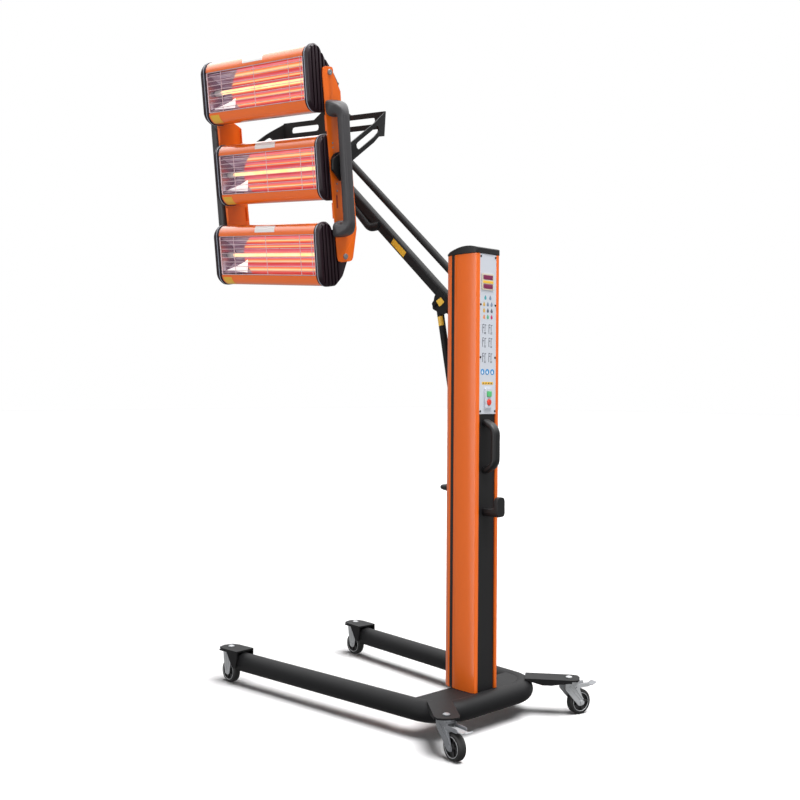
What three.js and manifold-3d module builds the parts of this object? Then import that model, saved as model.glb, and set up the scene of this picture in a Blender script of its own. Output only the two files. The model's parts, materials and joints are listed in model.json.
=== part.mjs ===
// Infrared paint curing lamp on a wheeled stand.
// Lengths are millimetres and angles are degrees. Z is up, the legs and the lift arm point along +Y,
// and the operator stands behind the column at -Y with +X on the right hand.
import * as THREE from 'three';
import { mergeVertices } from 'three/addons/utils/BufferGeometryUtils.js';
import Module from 'manifold-3d';

const wasm = await Module();
wasm.setup();

// Clearances shared by all pieces
const seatGap = 0.3;
const overrun = 3;
const weldSink = 1;
const weldGap = 0.9;
const undersideGap = 2;
const undersideStep = 1;

// Facets of round forms
const tubeSides = 12;
const roundSides = 16;
const pinSides = 10;
const cornerSteps = 2;
const capSteps = 8;
const domeSteps = 1;
const bendSteps = 3;

// Casters
const wheelRadius = 37.5;
const wheelWidth = 24;
const treadRounding = 6;
const tyreDepth = 11;
const hubRadius = 11;
const wheelWeb = 12;
const spokeCount = 5;
const spokeWidth = 7;
const axleRadius = 4;
const axleHeadRadius = 7;
const axleHeadHeight = 4;
const forkSheet = 2.5;
const forkSideGap = 2.2;
const forkTopRadius = 23;
const forkEyeRadius = 10;
const forkHornReach = 64;
const forkHornTall = 11;
const forkHornDrop = 5.5;
const forkHornCorner = 4;
const forkHexSides = 6;
const stemRadius = 6;
const stemHeadRadius = 10;
const stemHeadHeight = 5;
const racewayHeight = 8;
const racewayRadius = 22;
const ribDepth = 1.6;
const ribWidth = 8;
const ribSpacing = 17;
const rearTrail = 35;
const rearSwivel = { left: 172, right: -106 };

// Brake pedals
const pedalWidth = 24;
const pedalSheet = 3;
const pedalReach = 78;
const pedalRise = 6;
const pedalTip = 12;
const pedalDrop = 9;
const pedalPinRadius = 2.5;
const pedalHingeY = 14;
const pedalHingeBelow = 14;

// Base frame
const tubeRadius = 30;
const tubeWall = 2.5;
const tubeHeight = 76;
const rearTubeY = 78;
const legStartY = 120;
const legStartX = 201;
const frontBoltX = 268;
const frontBoltY = 957;
const legEndY = 905;
const cornerBend = 95;
const tubeBendSteps = 5;
const rearBoltX = 260;
const outriggerSheet = 5;
const outriggerWidth = 68;
const outriggerTail = 31;
const outriggerLength = 128;
const outriggerHeading = 37.6;
const outriggerWebRoot = 18;
const outriggerWebEnd = 10;
const outriggerWebArch = 5;
const outriggerCorner = 22;
const outriggerWebShares = { rise: 0.4, root: 0.6 };
const bracketSheet = 5;
const bracketTopZ = 115;
const bracketBack = 68;
const bracketSkirt = 9;
const basePlateTopZ = 102;
const basePlateSheet = 5;
const basePlateFrontY = 184;
const basePlateCornerX = 128;
const basePlateCornerY = 134;

// Column
const columnRearY = 94;
const columnDepth = 126;
const columnRearHalf = 50;
const columnFrontHalf = 43;
const columnBow = 5;
const columnTopZ = 1336;
const columnWall = 4;
const columnFrontRadius = 24;
const columnRearRadius = 9;
const capCrestShare = 1 / 3;
const channelHalf = 35;
const channelDepth = 10;
const slotHalf = 20;
const slotBottomZ = 735;
const slotTopZ = 1320;
const grooveNearY = 176;
const grooveWidth = 10;
const grooveDepth = 2.5;
const capRear = 14;
const capCrown = 19;
const capFront = 3;
const capEdge = 1.5;
const capSkirt = 6;

// Panel, rear cover and what sits on them
const panelBottomZ = 884;
const panelSetIn = 0.8;
const panelCorner = 2;
const coverSetIn = 4;
const displayCentreX = -4;
const displayBottomZ = 1234;
const displayTopZ = 1280;
const displayWidth = 50;
const displayHeight = 2.4;
const displayRecess = 1;
const displayCorner = 3;
const displayWindowHeight = 12;
const displayWindowWidth = 38;
const switchCentreZ = 929;
const switchWidth = 30;
const switchTall = 56;
const switchProud = 6;
const switchCorner = 4;
const buttonTravel = 3;
const buttonProud = 2.5;
const startButtonWidth = 18;
const startButtonTall = 15;
const startButtonCorner = 2;
const stopButtonRadius = 9;
const stopButtonFaceShare = 0.8;
const buttonGap = 0.6;
const buttonSpacing = 23;
const grabDrop = 22;
const grabTall = 138;
const grabReach = 46;
const grabWidth = 28;
const grabThick = 18;
const grabCentreX = -4;
const grabBend = 30;
const grabSides = 12;
const grabRoundness = 3;
const hookBelowGrab = 72;
const hookStemTall = 21;
const hookPlateTall = 56;
const hookPlateThick = 13;
const hookWidth = 33;
const hookReach = 56;
const hookCorners = { above: 4, below: 6, plate: 11 };
const glandZ = 666;
const glandRadius = 10.5;
const glandLength = 52;
const glandBore = 4.5;
const glandFlange = 3.7;
const glandLip = 1;
const glandRingShares = [1 / 6, 1 / 5, 0.6, 0.9];
const glandTaperShare = 0.75;
const grabTopZ = panelBottomZ - grabDrop;
const grabBottomZ = grabTopZ - grabTall;
const hookBottomZ = grabBottomZ - hookBelowGrab - hookPlateTall;

// Lift arm and gas strut
const armPivotY = 160;
const armPivotZ = 1137.7;
const armAngle = 40.8;
const armLength = 759.6;
const armTall = 32;
const armWide = 28;
const armWall = 2.5;
const armCorner = 6;
const armOvershoot = 20;
const linkSpacing = 92;
const tieRadius = 11;
const eyeRadius = 15;
const bushWall = 3;
const pinRadius = 8;
const strutPinRadius = 5;
const strutBoltRadius = 8.5;
const frameCheekHalf = 20;
const frameSheet = 4;
const frameFrontY = 186;
const frameBottomZ = 662;
const frameTopZ = 1268;
const strutFootY = 182;
const strutFootZ = 690;
const strutHeadY = 287;
const strutHeadZ = 1205;
const strutRadius = 10.5;
const strutBodyLength = 330;
const strutRodRadius = 5;
const strutEyeRadius = 10;
const strutEyeHalf = 8;
const strutNeck = 16;
const strutPlay = { back: 5.6, front: 8.8, along: 2.6 };
const strutEyeWall = 3.5;
const saddleStart = 89;
const saddleLength = 68;
const saddleDrop = 18;
const saddleCorner = 8;
const conduitStart = 505;
const conduitEnd = 695;
const conduitRadius = 12;
const conduitDrop = 29.5;
const conduitTopDrop = 21;
const conduitBend = 26;

// Knuckle and spindle
const knuckleSheet = 6;
const knuckleEdge = 20;
const spindleLean = 4.4;
const spindleY = 45.25;
const spindleRadius = 14;
const spindleFlangeRadius = 30;
const spindleFlangeZ = 149.7;
const flangeThick = 8;
const spindleLength = 80;
const knuckleLipShare = 0.8;
const knuckleWaistShare = 0.62;
const knuckleWebShares = { rear: 0.5, front: 0.7, foot: 0.7 };

// Yoke: lengths from the spindle flange and its axis
const headYaw = 96.12;
const hubRadiusOuter = 22;
const hubTall = 92;
const yokeSheet = 5;
const stripForward = 15;
const stripBottom = 7;
const stripTop = 60;
const stripNarrowing = 15;
const stripSlotNear = 60;
const stripSlotFar = 190;
const slotTall = 21;
const humpHalf = 40;
const humpFoot = 84;
const pivotForward = 234.7;
const forkWide = 48;
const bossRadius = 30;
const forkSlotShares = { near: 0.2, far: 0.66 };
const forkRootShares = { under: 0.24, over: 0.16 };
const forkFlatLength = 150;
const bossStand = 10;
const tiltAxisZ = 1647.7;

// Rails and side handles: lengths from the tilt axis
const headTilt = 9.6;
const railSheet = 3;
const capGap = 0.7;
const railFront = { top: 42, bottom: 23 };
const railBack = { top: -31, middle: -60, bottom: -68 };
const railTaperZ = 140;
const railFlange = 8;
const railFlangeClear = 7;
const railTopZ = 222;
const railBottomZ = -247;
const tabRadius = 16;
const tiltBoltRadius = 6;
const tiltHeadRadius = 19;
const tiltHeadHeight = 7;
const tiltHeadFaceShare = 0.6;
const handleTopZ = 165;
const handleBottomZ = -205;
const handleY = 6;
const handleReach = 40;
const handleTube = 31;
const handleFoot = 66;
const handleBend = 34;
const handleSides = 12;
const handleRoundness = 2.6;

// Cassettes: lengths from the middle of the grille plane
const cassetteCount = 3;
const cassettePitch = 254.5;
const grilleForward = 91;
const headDrop = 13;
const middleSetback = 26;
const cassetteHalfTall = 95;
const cassetteFrontRadius = 33;
const cassetteRearRadius = 18;
const cassetteUpper = { shoulder: 42, waist: 64, waistHalf: 64, back: 100, backHalf: 22 };
const cassetteLower = { shoulder: 62, waist: 88, waistHalf: 74, back: 108, backHalf: 38 };
const cassetteRearmost = { depth: 124, below: 16 };
const cassetteWall = 2.5;
const housingHalf = 216;
const capThick = 25;
const capOversize = 2;
const capDome = 8;
const capDomeThick = 9;
const ribCount = 5;
const ribSpan = 84;
const ribGroove = 5;
const ribGrooveDeep = 5;
const grilleHalf = 62;
const wireRadius = 1.5;
const wireSides = 4;
const wireGap = 0.1;
const crossWireShares = [-0.93, -0.7, 0, 0.7];
const longWireCount = 8;
const reflectorDepth = 62;
const reflectorSetback = 6.6;
const reflectorPoints = 9;
const reflectorSheet = 1.5;
const lampRadius = 6;
const ceramicRadius = 9;
const ceramicLength = 28;
const lampSetback = 36;
const pivotScrewRadius = 4;
const pivotScrewHead = 8;
const pivotHeadSides = 6;
const topPivot = { y: 12, z: 259 };
const bottomPivot = { y: -10, z: -279 };
const tiltAxis = { y: 0, z: 0 };
const railOuter = housingHalf + seatGap + capThick + capGap + railSheet;
const stripHalf = railOuter - stripNarrowing;
const bossOuter = railOuter + bossStand;

const radians = THREE.MathUtils.degToRad;
const lamp = new THREE.Group();

// Height of the base tube's flat top facet, on which the outriggers sit
const tubeTopZ = tubeHeight + tubeRadius * Math.cos(Math.PI / tubeSides);

// Finishes
const finishes = {
  orange: { color: 0xea6420, roughness: 0.35, metalness: 0.1 },
  black: { color: 0x232426, roughness: 0.55, metalness: 0.2 },
  plastic: { color: 0x1b1c1e, roughness: 0.6, metalness: 0 },
  zinc: { color: 0xb4b6b8, roughness: 0.35, metalness: 0.9 },
  rubber: { color: 0x151516, roughness: 0.8, metalness: 0 },
  silver: { color: 0xc9ced8, roughness: 0.4, metalness: 0.5 },
  green: { color: 0x2f9a4a, roughness: 0.4, metalness: 0 },
  red: { color: 0xc02a20, roughness: 0.4, metalness: 0 },
  reflector: { color: 0xd8a0a8, roughness: 0.15, metalness: 1 },
  glow: { color: 0xff9a3c, roughness: 0.3, metalness: 0 },
  wire: { color: 0xd0c8cc, roughness: 0.3, metalness: 0.9 },
};
const materials = {};
for (const [name, values] of Object.entries(finishes)) {
  materials[name] = new THREE.MeshStandardMaterial(values);
}

// A closed geometry as a solid that can be joined and cut
function solid(geometry) {
  const bare = geometry.clone();
  bare.deleteAttribute('normal');
  bare.deleteAttribute('uv');
  const merged = mergeVertices(bare);
  return new wasm.Manifold(new wasm.Mesh({
    numProp: 3,
    vertProperties: new Float32Array(merged.attributes.position.array),
    triVerts: new Uint32Array(merged.index.array),
  }));
}

// A solid back as a flat-shaded geometry
function surface(body) {
  const mesh = body.getMesh();
  const geometry = new THREE.BufferGeometry();
  geometry.setAttribute('position', new THREE.BufferAttribute(new Float32Array(mesh.vertProperties), 3));
  geometry.setIndex(new THREE.BufferAttribute(new Uint32Array(mesh.triVerts), 1));
  geometry.computeVertexNormals();
  return geometry;
}

// Joins a list of solids
function join(parts) {
  return parts.reduce((whole, next) => whole.add(next));
}

// Cuts a list of solids out of one
function cut(body, cutters) {
  return cutters.reduce((rest, next) => rest.subtract(next), body);
}

// Adds a named mesh to a group
function place(group, name, material, body) {
  const mesh = new THREE.Mesh(surface(body), materials[material]);
  mesh.name = name;
  group.add(mesh);
  return mesh;
}

// A turned or moved group inside another
function nest(parent, position, turn = {}) {
  const group = new THREE.Group();
  group.position.set(...position);
  group.rotation.set(radians(turn.x ?? 0), radians(turn.y ?? 0), radians(turn.z ?? 0));
  parent.add(group);
  return group;
}

// An outline from corner points; each corner may carry a rounding radius as a third value
function outline(corners) {
  const shape = new THREE.Shape();
  const count = corners.length;
  corners.forEach(([x, y, radius = 0], index) => {
    const here = new THREE.Vector2(x, y);
    const before = new THREE.Vector2(...corners[(index + count - 1) % count]);
    const after = new THREE.Vector2(...corners[(index + 1) % count]);
    const inward = before.clone().sub(here);
    const outward = after.clone().sub(here);
    const half = Math.abs(inward.angleTo(outward)) / 2;
    const room = Math.min(inward.length(), outward.length()) / 2;
    const reach = radius === 0 ? 0 : Math.min(radius / Math.tan(half), room);
    const start = here.clone().addScaledVector(inward.normalize(), reach);
    const end = here.clone().addScaledVector(outward.normalize(), reach);
    if (index === 0) shape.moveTo(start.x, start.y);
    else shape.lineTo(start.x, start.y);
    if (reach > 0) shape.quadraticCurveTo(here.x, here.y, end.x, end.y);
  });
  shape.closePath();
  return shape;
}

// A rectangle outline about a centre, with one rounding radius
function rectangle(width, height, radius = 0, centreX = 0, centreY = 0) {
  const [w, h] = [width / 2, height / 2];
  const corners = [[-w, -h], [w, -h], [w, h], [-w, h]];
  return outline(corners.map(([x, y]) => [centreX + x, centreY + y, radius]));
}

// Corner points moved inward by an inset, or outward by a negative one, across their two edges
function shrink(corners, inset) {
  const count = corners.length;
  const inwardOf = ([x, y], [nextX, nextY]) => new THREE.Vector2(y - nextY, nextX - x).normalize();
  return corners.map((corner, index) => {
    const before = inwardOf(corners[(index + count - 1) % count], corner);
    const after = inwardOf(corner, corners[(index + 1) % count]);
    const move = before.clone().add(after).multiplyScalar(inset / (1 + before.dot(after)));
    const radius = corner[2] === 0 ? 0 : Math.max(corner[2] - inset, seatGap);
    return [corner[0] + move.x, corner[1] + move.y, radius];
  });
}

// Axis frames for extrusions: the outline's two directions and the way it is thickened
const frames = {
  x: new THREE.Matrix4().makeBasis(
    new THREE.Vector3(0, 1, 0), new THREE.Vector3(0, 0, 1), new THREE.Vector3(1, 0, 0)),
  y: new THREE.Matrix4().makeBasis(
    new THREE.Vector3(1, 0, 0), new THREE.Vector3(0, 0, 1), new THREE.Vector3(0, -1, 0)),
  z: new THREE.Matrix4(),
};

// An outline thickened along an axis between two places on it
function slab(axis, shape, from, to, steps = cornerSteps, bevel = { bevelEnabled: false }) {
  const geometry = new THREE.ExtrudeGeometry(shape, { depth: to - from, curveSegments: steps, ...bevel });
  geometry.translate(0, 0, axis === 'y' ? -to : from);
  geometry.applyMatrix4(frames[axis]);
  return solid(geometry);
}

// A round bar along an axis between two places on it
function bar(axis, radius, from, to, centre = [0, 0, 0], sides = pinSides) {
  const geometry = new THREE.CylinderGeometry(radius, radius, to - from, sides);
  geometry.translate(0, (from + to) / 2, 0);
  if (axis === 'x') geometry.rotateZ(-Math.PI / 2);
  if (axis === 'z') geometry.rotateX(Math.PI / 2);
  geometry.translate(...centre);
  return solid(geometry);
}

// A body of revolution about an axis from (radius, place along the axis) points
function turned(axis, profile, sides = roundSides, centre = [0, 0, 0]) {
  const points = profile.map(([radius, along]) => new THREE.Vector2(radius, along));
  const geometry = new THREE.LatheGeometry(points, sides);
  geometry.rotateY(Math.PI / sides);
  if (axis === 'x') geometry.rotateZ(-Math.PI / 2);
  if (axis === 'z') geometry.rotateX(Math.PI / 2);
  geometry.translate(...centre);
  return solid(geometry);
}

// The bore that lets a faceted pin of a radius turn freely
function boreFor(radius, sides = pinSides) {
  return (radius + seatGap) / Math.cos(Math.PI / sides);
}

// A closed skin over rings of points, the first and last ring closed by a flat end
function loft(rings) {
  const count = rings[0].length;
  const positions = rings.flat(2);
  const triangles = [];
  for (let ring = 0; ring + 1 < rings.length; ring += 1) {
    for (let point = 0; point < count; point += 1) {
      const next = (point + 1) % count;
      const [a, b] = [ring * count + point, ring * count + next];
      triangles.push(a, b, b + count, a, b + count, a + count);
    }
  }
  const last = (rings.length - 1) * count;
  for (let point = 1; point + 1 < count; point += 1) {
    triangles.push(0, point + 1, point, last, last + point, last + point + 1);
  }
  if (signedVolume(positions, triangles) < 0) triangles.reverse();
  const geometry = new THREE.BufferGeometry();
  geometry.setAttribute('position', new THREE.Float32BufferAttribute(positions, 3));
  geometry.setIndex(triangles);
  return solid(geometry);
}

// Six times the volume inside a triangle skin, negative where it is inside out
function signedVolume(positions, triangles) {
  let volume = 0;
  const corner = (index) => new THREE.Vector3().fromArray(positions, index * 3);
  for (let start = 0; start < triangles.length; start += 3) {
    const [a, b, c] = [0, 1, 2].map((step) => corner(triangles[start + step]));
    volume += a.dot(b.cross(c));
  }
  return volume;
}

// Stations along a flat path of corners [a, b, bend radius]: place and heading at each
function stations(corners, steps) {
  const list = [];
  corners.forEach(([a, b, radius], index) => {
    const here = new THREE.Vector2(a, b);
    const before = corners[index - 1];
    const after = corners[index + 1];
    if (!before || !after) {
      const start = before ? new THREE.Vector2(...before) : here;
      const end = before ? here : new THREE.Vector2(...after);
      list.push({ at: here, heading: end.clone().sub(start).normalize() });
      return;
    }
    const into = here.clone().sub(new THREE.Vector2(...before)).normalize();
    const out = new THREE.Vector2(...after).sub(here).normalize();
    const turn = Math.atan2(into.cross(out), into.dot(out));
    const reach = radius * Math.tan(Math.abs(turn) / 2);
    const side = Math.sign(turn) || 1;
    const centre = here.clone().addScaledVector(into, -reach)
      .add(new THREE.Vector2(-into.y, into.x).multiplyScalar(radius * side));
    for (let step = 0; step <= steps; step += 1) {
      const heading = into.clone().rotateAround(new THREE.Vector2(), (turn * step) / steps);
      const spoke = new THREE.Vector2(heading.y, -heading.x).multiplyScalar(radius * side);
      list.push({ at: centre.clone().add(spoke), heading });
    }
  });
  return list;
}

// A tube swept along a flat path; lift turns a path place and an offset across the plane into a point
function sweep(path, lift, section) {
  return loft(path.map(({ at, heading }, index) => section(index).map(([side, across]) => {
    const point = at.clone().add(new THREE.Vector2(-heading.y, heading.x).multiplyScalar(side));
    return lift(point.x, point.y, across);
  })));
}

// A ring of section points: a circle, or a rounded box where the power is above 2
function ringSection(halfSide, halfAcross, sides, power = 2) {
  return Array.from({ length: sides }, (_, index) => {
    const angle = (Math.PI * 2 * (index + 0.5)) / sides;
    const round = (value) => Math.sign(value) * Math.abs(value) ** (2 / power);
    return [halfSide * round(Math.cos(angle)), halfAcross * round(Math.sin(angle))];
  });
}

// Wheel: rubber tyre on a spoked centre, turning about X at the origin
function wheelBody() {
  const half = wheelWidth / 2;
  const rimRadius = wheelRadius - tyreDepth;
  const bore = boreFor(axleRadius);
  const web = wheelWeb / 2;
  const profile = [
    [bore, -half], [hubRadius, -half], [hubRadius, -web], [rimRadius, -web], [rimRadius, -half + weldSink],
    [wheelRadius - treadRounding, -half], [wheelRadius, -half + treadRounding],
    [wheelRadius, half - treadRounding], [wheelRadius - treadRounding, half],
    [rimRadius, half - weldSink], [rimRadius, web], [hubRadius, web], [hubRadius, half], [bore, half],
    [bore, -half],
  ];
  const spokes = Array.from({ length: spokeCount }, (_, index) => {
    const spoke = slab('x', rectangle(spokeWidth, rimRadius - bore, 0, 0, (rimRadius + hubRadius) / 2),
      -half + 2 * weldSink, half - 2 * weldSink);
    return spoke.rotate([(index * 360) / spokeCount, 0, 0]);
  });
  const trimmed = spokes.map((spoke) => cut(spoke, [bar('x', hubRadius - weldSink, -half, half)]));
  return join([turned('x', profile), ...trimmed]);
}

// Side of a plain fork: a plate that tapers down to a round eye at the axle
function plainSide(trail, plateTop) {
  const middle = (plateTop + wheelRadius) / 2;
  const eye = wheelRadius - forkEyeRadius;
  return outline([
    [-forkTopRadius, plateTop], [-forkTopRadius + ribWidth / 2, middle],
    [trail - forkEyeRadius, eye, forkEyeRadius], [trail + forkEyeRadius, eye, forkEyeRadius],
    [forkTopRadius - ribWidth / 2, middle], [forkTopRadius, plateTop],
  ]);
}

// Side of a braked fork: a horn runs back above the wheel, and the leg slants down to the axle
function hornedSide(trail, plateTop) {
  const hornTop = plateTop - forkHornDrop;
  const hornBottom = hornTop - forkHornTall;
  const eye = wheelRadius - forkEyeRadius;
  return outline([
    [-forkTopRadius, plateTop], [-forkTopRadius, hornBottom, forkEyeRadius],
    [trail - forkEyeRadius, eye, forkEyeRadius], [trail + forkEyeRadius, eye, forkEyeRadius],
    [forkTopRadius + ribWidth / 2, hornBottom, forkHornCorner],
    [forkHornReach, hornBottom, forkHornCorner], [forkHornReach, hornTop, forkHornCorner],
    [forkTopRadius, hornTop], [forkTopRadius, plateTop],
  ]);
}

// Caster fork about its stem: the axle sits one trail behind the stem along +Y
function forkBody({ trail, topZ, stemTopZ, raceway }) {
  const inner = wheelWidth / 2 + forkSideGap;
  const outer = inner + forkSheet;
  const plateTop = topZ - (raceway ? racewayHeight : 0);
  const plate = slab('z', outline([
    [-outer, -forkTopRadius, forkTopRadius / 2], [outer, -forkTopRadius, forkTopRadius / 2],
    [outer, forkTopRadius, forkTopRadius / 2], [-outer, forkTopRadius, forkTopRadius / 2],
  ]), plateTop - forkSheet, plateTop);
  const sideShape = raceway ? hornedSide(trail, plateTop) : plainSide(trail, plateTop);
  const ribFoot = wheelRadius + axleHeadRadius + ribDepth;
  const sides = [-1, 1].flatMap((side) => {
    const [from, to] = side < 0 ? [-outer, -inner] : [inner, outer];
    const face = side < 0 ? -outer - ribDepth : outer - weldSink;
    const ribs = [-1, 1].map((half) => {
      const top = half * ribSpacing / 2;
      const foot = trail + half * ribSpacing / 4;
      return slab('x', outline([
        [top - ribWidth / 2, plateTop - ribWidth], [foot - ribWidth / 4, ribFoot],
        [foot + ribWidth / 4, ribFoot], [top + ribWidth / 2, plateTop - ribWidth],
      ]), face, face + ribDepth + weldSink);
    });
    return [slab('x', sideShape, from, to), ...ribs];
  });
  const hub = [0, trail, wheelRadius];
  const axle = bar('x', axleRadius, -outer, outer, hub);
  const heads = bar('x', axleHeadRadius, -outer - axleHeadHeight, -outer + weldSink, hub, forkHexSides)
    .add(bar('x', axleHeadRadius, outer - weldSink, outer + axleHeadHeight, hub, forkHexSides));
  const stem = bar('z', stemRadius, plateTop - forkSheet, stemTopZ + stemHeadHeight / 2);
  const head = turned('z', [
    [0, stemTopZ + seatGap], [stemHeadRadius, stemTopZ + seatGap],
    [stemHeadRadius, stemTopZ + stemHeadHeight / 2], [stemHeadRadius / 2, stemTopZ + stemHeadHeight],
    [0, stemTopZ + stemHeadHeight],
  ], pinSides);
  const parts = [plate, ...sides, axle, heads, stem, head];
  if (raceway) parts.push(bar('z', racewayRadius, plateTop - weldSink, topZ, [0, 0, 0], roundSides));
  return join(parts);
}

// Brake pedal: a bent strip hinged between the fork sides
function pedalBody(hingeZ) {
  const half = pedalSheet / 2;
  const wide = pedalWidth / 2;
  const strip = stations([
    [-pedalDrop, 0, 0], [pedalReach - pedalTip, 0, pedalTip], [pedalReach, pedalRise, 0],
  ], bendSteps);
  const lift = (a, b, across) => [across, pedalHingeY + a, hingeZ + b];
  const box = [[-half, -wide], [half, -wide], [half, wide], [-half, wide]];
  const pinHalf = wheelWidth / 2 + forkSideGap + forkSheet;
  const pin = bar('x', pedalPinRadius, -pinHalf, pinHalf, [0, pedalHingeY, hingeZ]);
  return sweep(strip, lift, () => box).add(pin);
}

// Adds one caster; the fork group's +Y is the way the wheel trails
function caster(name, group, { trail, topZ, stemTopZ, raceway, brake }) {
  let fork = forkBody({ trail, topZ, stemTopZ, raceway });
  const hingeZ = topZ - racewayHeight - pedalHingeBelow;
  if (brake) {
    const reach = wheelWidth + forkSideGap;
    fork = cut(fork, [bar('x', boreFor(pedalPinRadius), -reach, reach, [0, pedalHingeY, hingeZ])]);
    place(group, `${name}_brake_pedal`, 'zinc', pedalBody(hingeZ));
  }
  place(group, `${name}_fork`, 'zinc', fork);
  const wheel = place(group, `${name}_wheel`, 'rubber', wheelBody());
  wheel.position.set(0, trail, wheelRadius);
}

// Base tube: one pipe bent to a U, its two legs splayed outward
const legSlope = (frontBoltX - legStartX) / (frontBoltY - legStartY);
const legX = (y) => legStartX + legSlope * (y - legStartY);
const legAngle = THREE.MathUtils.radToDeg(Math.atan(legSlope));

function baseTubeBody(radius, endY, sides) {
  const corner = [legX(rearTubeY), rearTubeY];
  const path = stations([
    [-legX(endY), endY, 0], [-corner[0], corner[1], cornerBend], [corner[0], corner[1], cornerBend],
    [legX(endY), endY, 0],
  ], tubeBendSteps);
  const ring = ringSection(radius, radius, sides);
  return sweep(path, (x, y, across) => [x, y, tubeHeight + across], () => ring);
}

// Leg-end bracket: a round-ended top plate over the caster with side gussets down to the tube
function legBracketBody() {
  const half = tubeRadius + seatGap + bracketSheet;
  const inside = half - bracketSheet;
  const underside = bracketTopZ - bracketSheet;
  const endY = legEndY - frontBoltY + seatGap;
  const plate = slab('z', outline([
    [-half, half, half], [-half, -bracketBack], [half, -bracketBack], [half, half, half],
  ]), underside, bracketTopZ);
  const gusset = [
    [half / 2, underside + weldSink], [half / 2, underside + bracketSheet - bracketSkirt],
    [-half / 2, underside + bracketSheet - bracketSkirt], [endY + bracketSheet, tubeHeight - tubeRadius / 2],
    [endY - bracketSkirt, tubeHeight - tubeRadius / 2], [-bracketBack, tubeHeight + tubeRadius / 2],
    [-bracketBack, underside + weldSink],
  ];
  const sides = [-half, inside].map((from) => slab('x', outline(gusset), from, from + bracketSheet));
  const stopFoot = tubeHeight - tubeRadius / 2;
  const stopShape = rectangle(2 * inside + 2 * weldSink, bracketTopZ - stopFoot, 0, 0,
    (bracketTopZ - weldSink + stopFoot) / 2);
  const stop = slab('y', stopShape, endY, endY + bracketSheet);
  const hole = bar('z', boreFor(stemRadius), underside - overrun, bracketTopZ + overrun);
  return cut(join([plate, ...sides, stop]), [hole]);
}

// Outrigger: a pressed channel from the tube corner to the rear caster, arched beneath, +Y towards the caster
function outriggerBody() {
  const half = outriggerWidth / 2;
  const underside = tubeTopZ + seatGap;
  const top = underside + outriggerSheet;
  const plate = slab('z', outline([
    [-half, outriggerTail, outriggerCorner], [-half, -outriggerLength], [half, -outriggerLength],
    [half, outriggerTail, outriggerCorner],
  ]), underside, top);
  const webEnd = outriggerTail - outriggerCorner;
  const web = outline([
    [webEnd, underside + weldSink], [webEnd, top - outriggerWebEnd],
    [0, top - outriggerSheet - outriggerWebArch, webEnd],
    [-outriggerLength * outriggerWebShares.rise, top - outriggerWebRoot, outriggerTail],
    [-outriggerLength * outriggerWebShares.root, top - outriggerWebRoot],
    [-outriggerLength + overrun, underside - seatGap], [-outriggerLength + overrun, underside + weldSink],
  ]);
  const webs = [-half, half - outriggerSheet].map((from) => slab('x', web, from, from + outriggerSheet));
  return join([plate, ...webs]);
}
const outriggerTopZ = tubeTopZ + seatGap + outriggerSheet;

function addBase() {
  const full = baseTubeBody(tubeRadius, legEndY, tubeSides);
  const bore = baseTubeBody(tubeRadius - tubeWall, legEndY + overrun, tubeSides / 2);
  place(lamp, 'base_tube', 'black', cut(full, [bore]));
  const clearTube = baseTubeBody(tubeRadius + seatGap, legEndY + overrun, tubeSides);
  const weldClear = baseTubeBody(tubeRadius + weldGap, legEndY + overrun, tubeSides);
  const rearY = rearTubeY;
  const plate = slab('z', outline([
    [-legX(basePlateFrontY), basePlateFrontY], [-legX(basePlateCornerY), basePlateCornerY],
    [-basePlateCornerX, rearY], [basePlateCornerX, rearY],
    [legX(basePlateCornerY), basePlateCornerY], [legX(basePlateFrontY), basePlateFrontY],
  ]), basePlateTopZ - basePlateSheet, basePlateTopZ);
  // The underside starts further from the tube, so that a flat plate can lie against all of it
  const undersideClear = baseTubeBody(tubeRadius + undersideGap, legEndY + overrun, tubeSides)
    .trimByPlane([0, 0, -1], basePlateSheet - undersideStep - basePlateTopZ);
  place(lamp, 'base_plate', 'black', cut(plate, [weldClear, undersideClear]));
  for (const [side, name] of [[-1, 'left'], [1, 'right']]) {
    const rear = nest(lamp, [side * rearBoltX, 0, 0], { z: side * (180 + outriggerHeading) });
    rear.updateWorldMatrix(true, false);
    const back = rear.matrixWorld.clone().invert();
    const hole = bar('z', boreFor(stemRadius), outriggerTopZ - 2 * outriggerSheet, outriggerTopZ + overrun);
    const localTube = clearTube.transform([...back.elements]);
    place(rear, `outrigger_${name}`, 'black', cut(outriggerBody(), [localTube, hole]));
    const front = nest(lamp, [side * frontBoltX, frontBoltY, 0], { z: -side * legAngle });
    place(front, `leg_bracket_${name}`, 'black', legBracketBody());
    const frontCaster = nest(lamp, [side * frontBoltX, frontBoltY, 0]);
    caster(`front_${name}`, frontCaster, {
      trail: 0, topZ: bracketTopZ - bracketSheet - seatGap, stemTopZ: bracketTopZ,
      raceway: false, brake: false,
    });
    const rearCaster = nest(lamp, [side * rearBoltX, 0, 0], { z: rearSwivel[name] });
    caster(`rear_${name}`, rearCaster, {
      trail: rearTrail, topZ: outriggerTopZ - outriggerSheet - seatGap, stemTopZ: outriggerTopZ,
      raceway: true, brake: true,
    });
  }
}

// Column outline at an inset from the outer face: bowed sides, rounded front
function columnOutline(inset) {
  const rear = columnRearY + inset;
  const front = columnRearY + columnDepth - inset;
  const widest = (columnRearHalf + columnFrontHalf) / 2 + columnBow - inset;
  const middle = (rear + front) / 2;
  const frontHalf = columnFrontHalf - inset;
  const rearHalf = columnRearHalf - inset;
  const radius = Math.max(columnFrontRadius - inset, inset);
  const rearRadius = Math.max(columnRearRadius - inset, inset);
  return outline([
    [-rearHalf, rear, rearRadius], [rearHalf, rear, rearRadius], [widest, middle, columnDepth],
    [frontHalf, front, radius], [-frontHalf, front, radius], [-widest, middle, columnDepth],
  ]);
}

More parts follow.
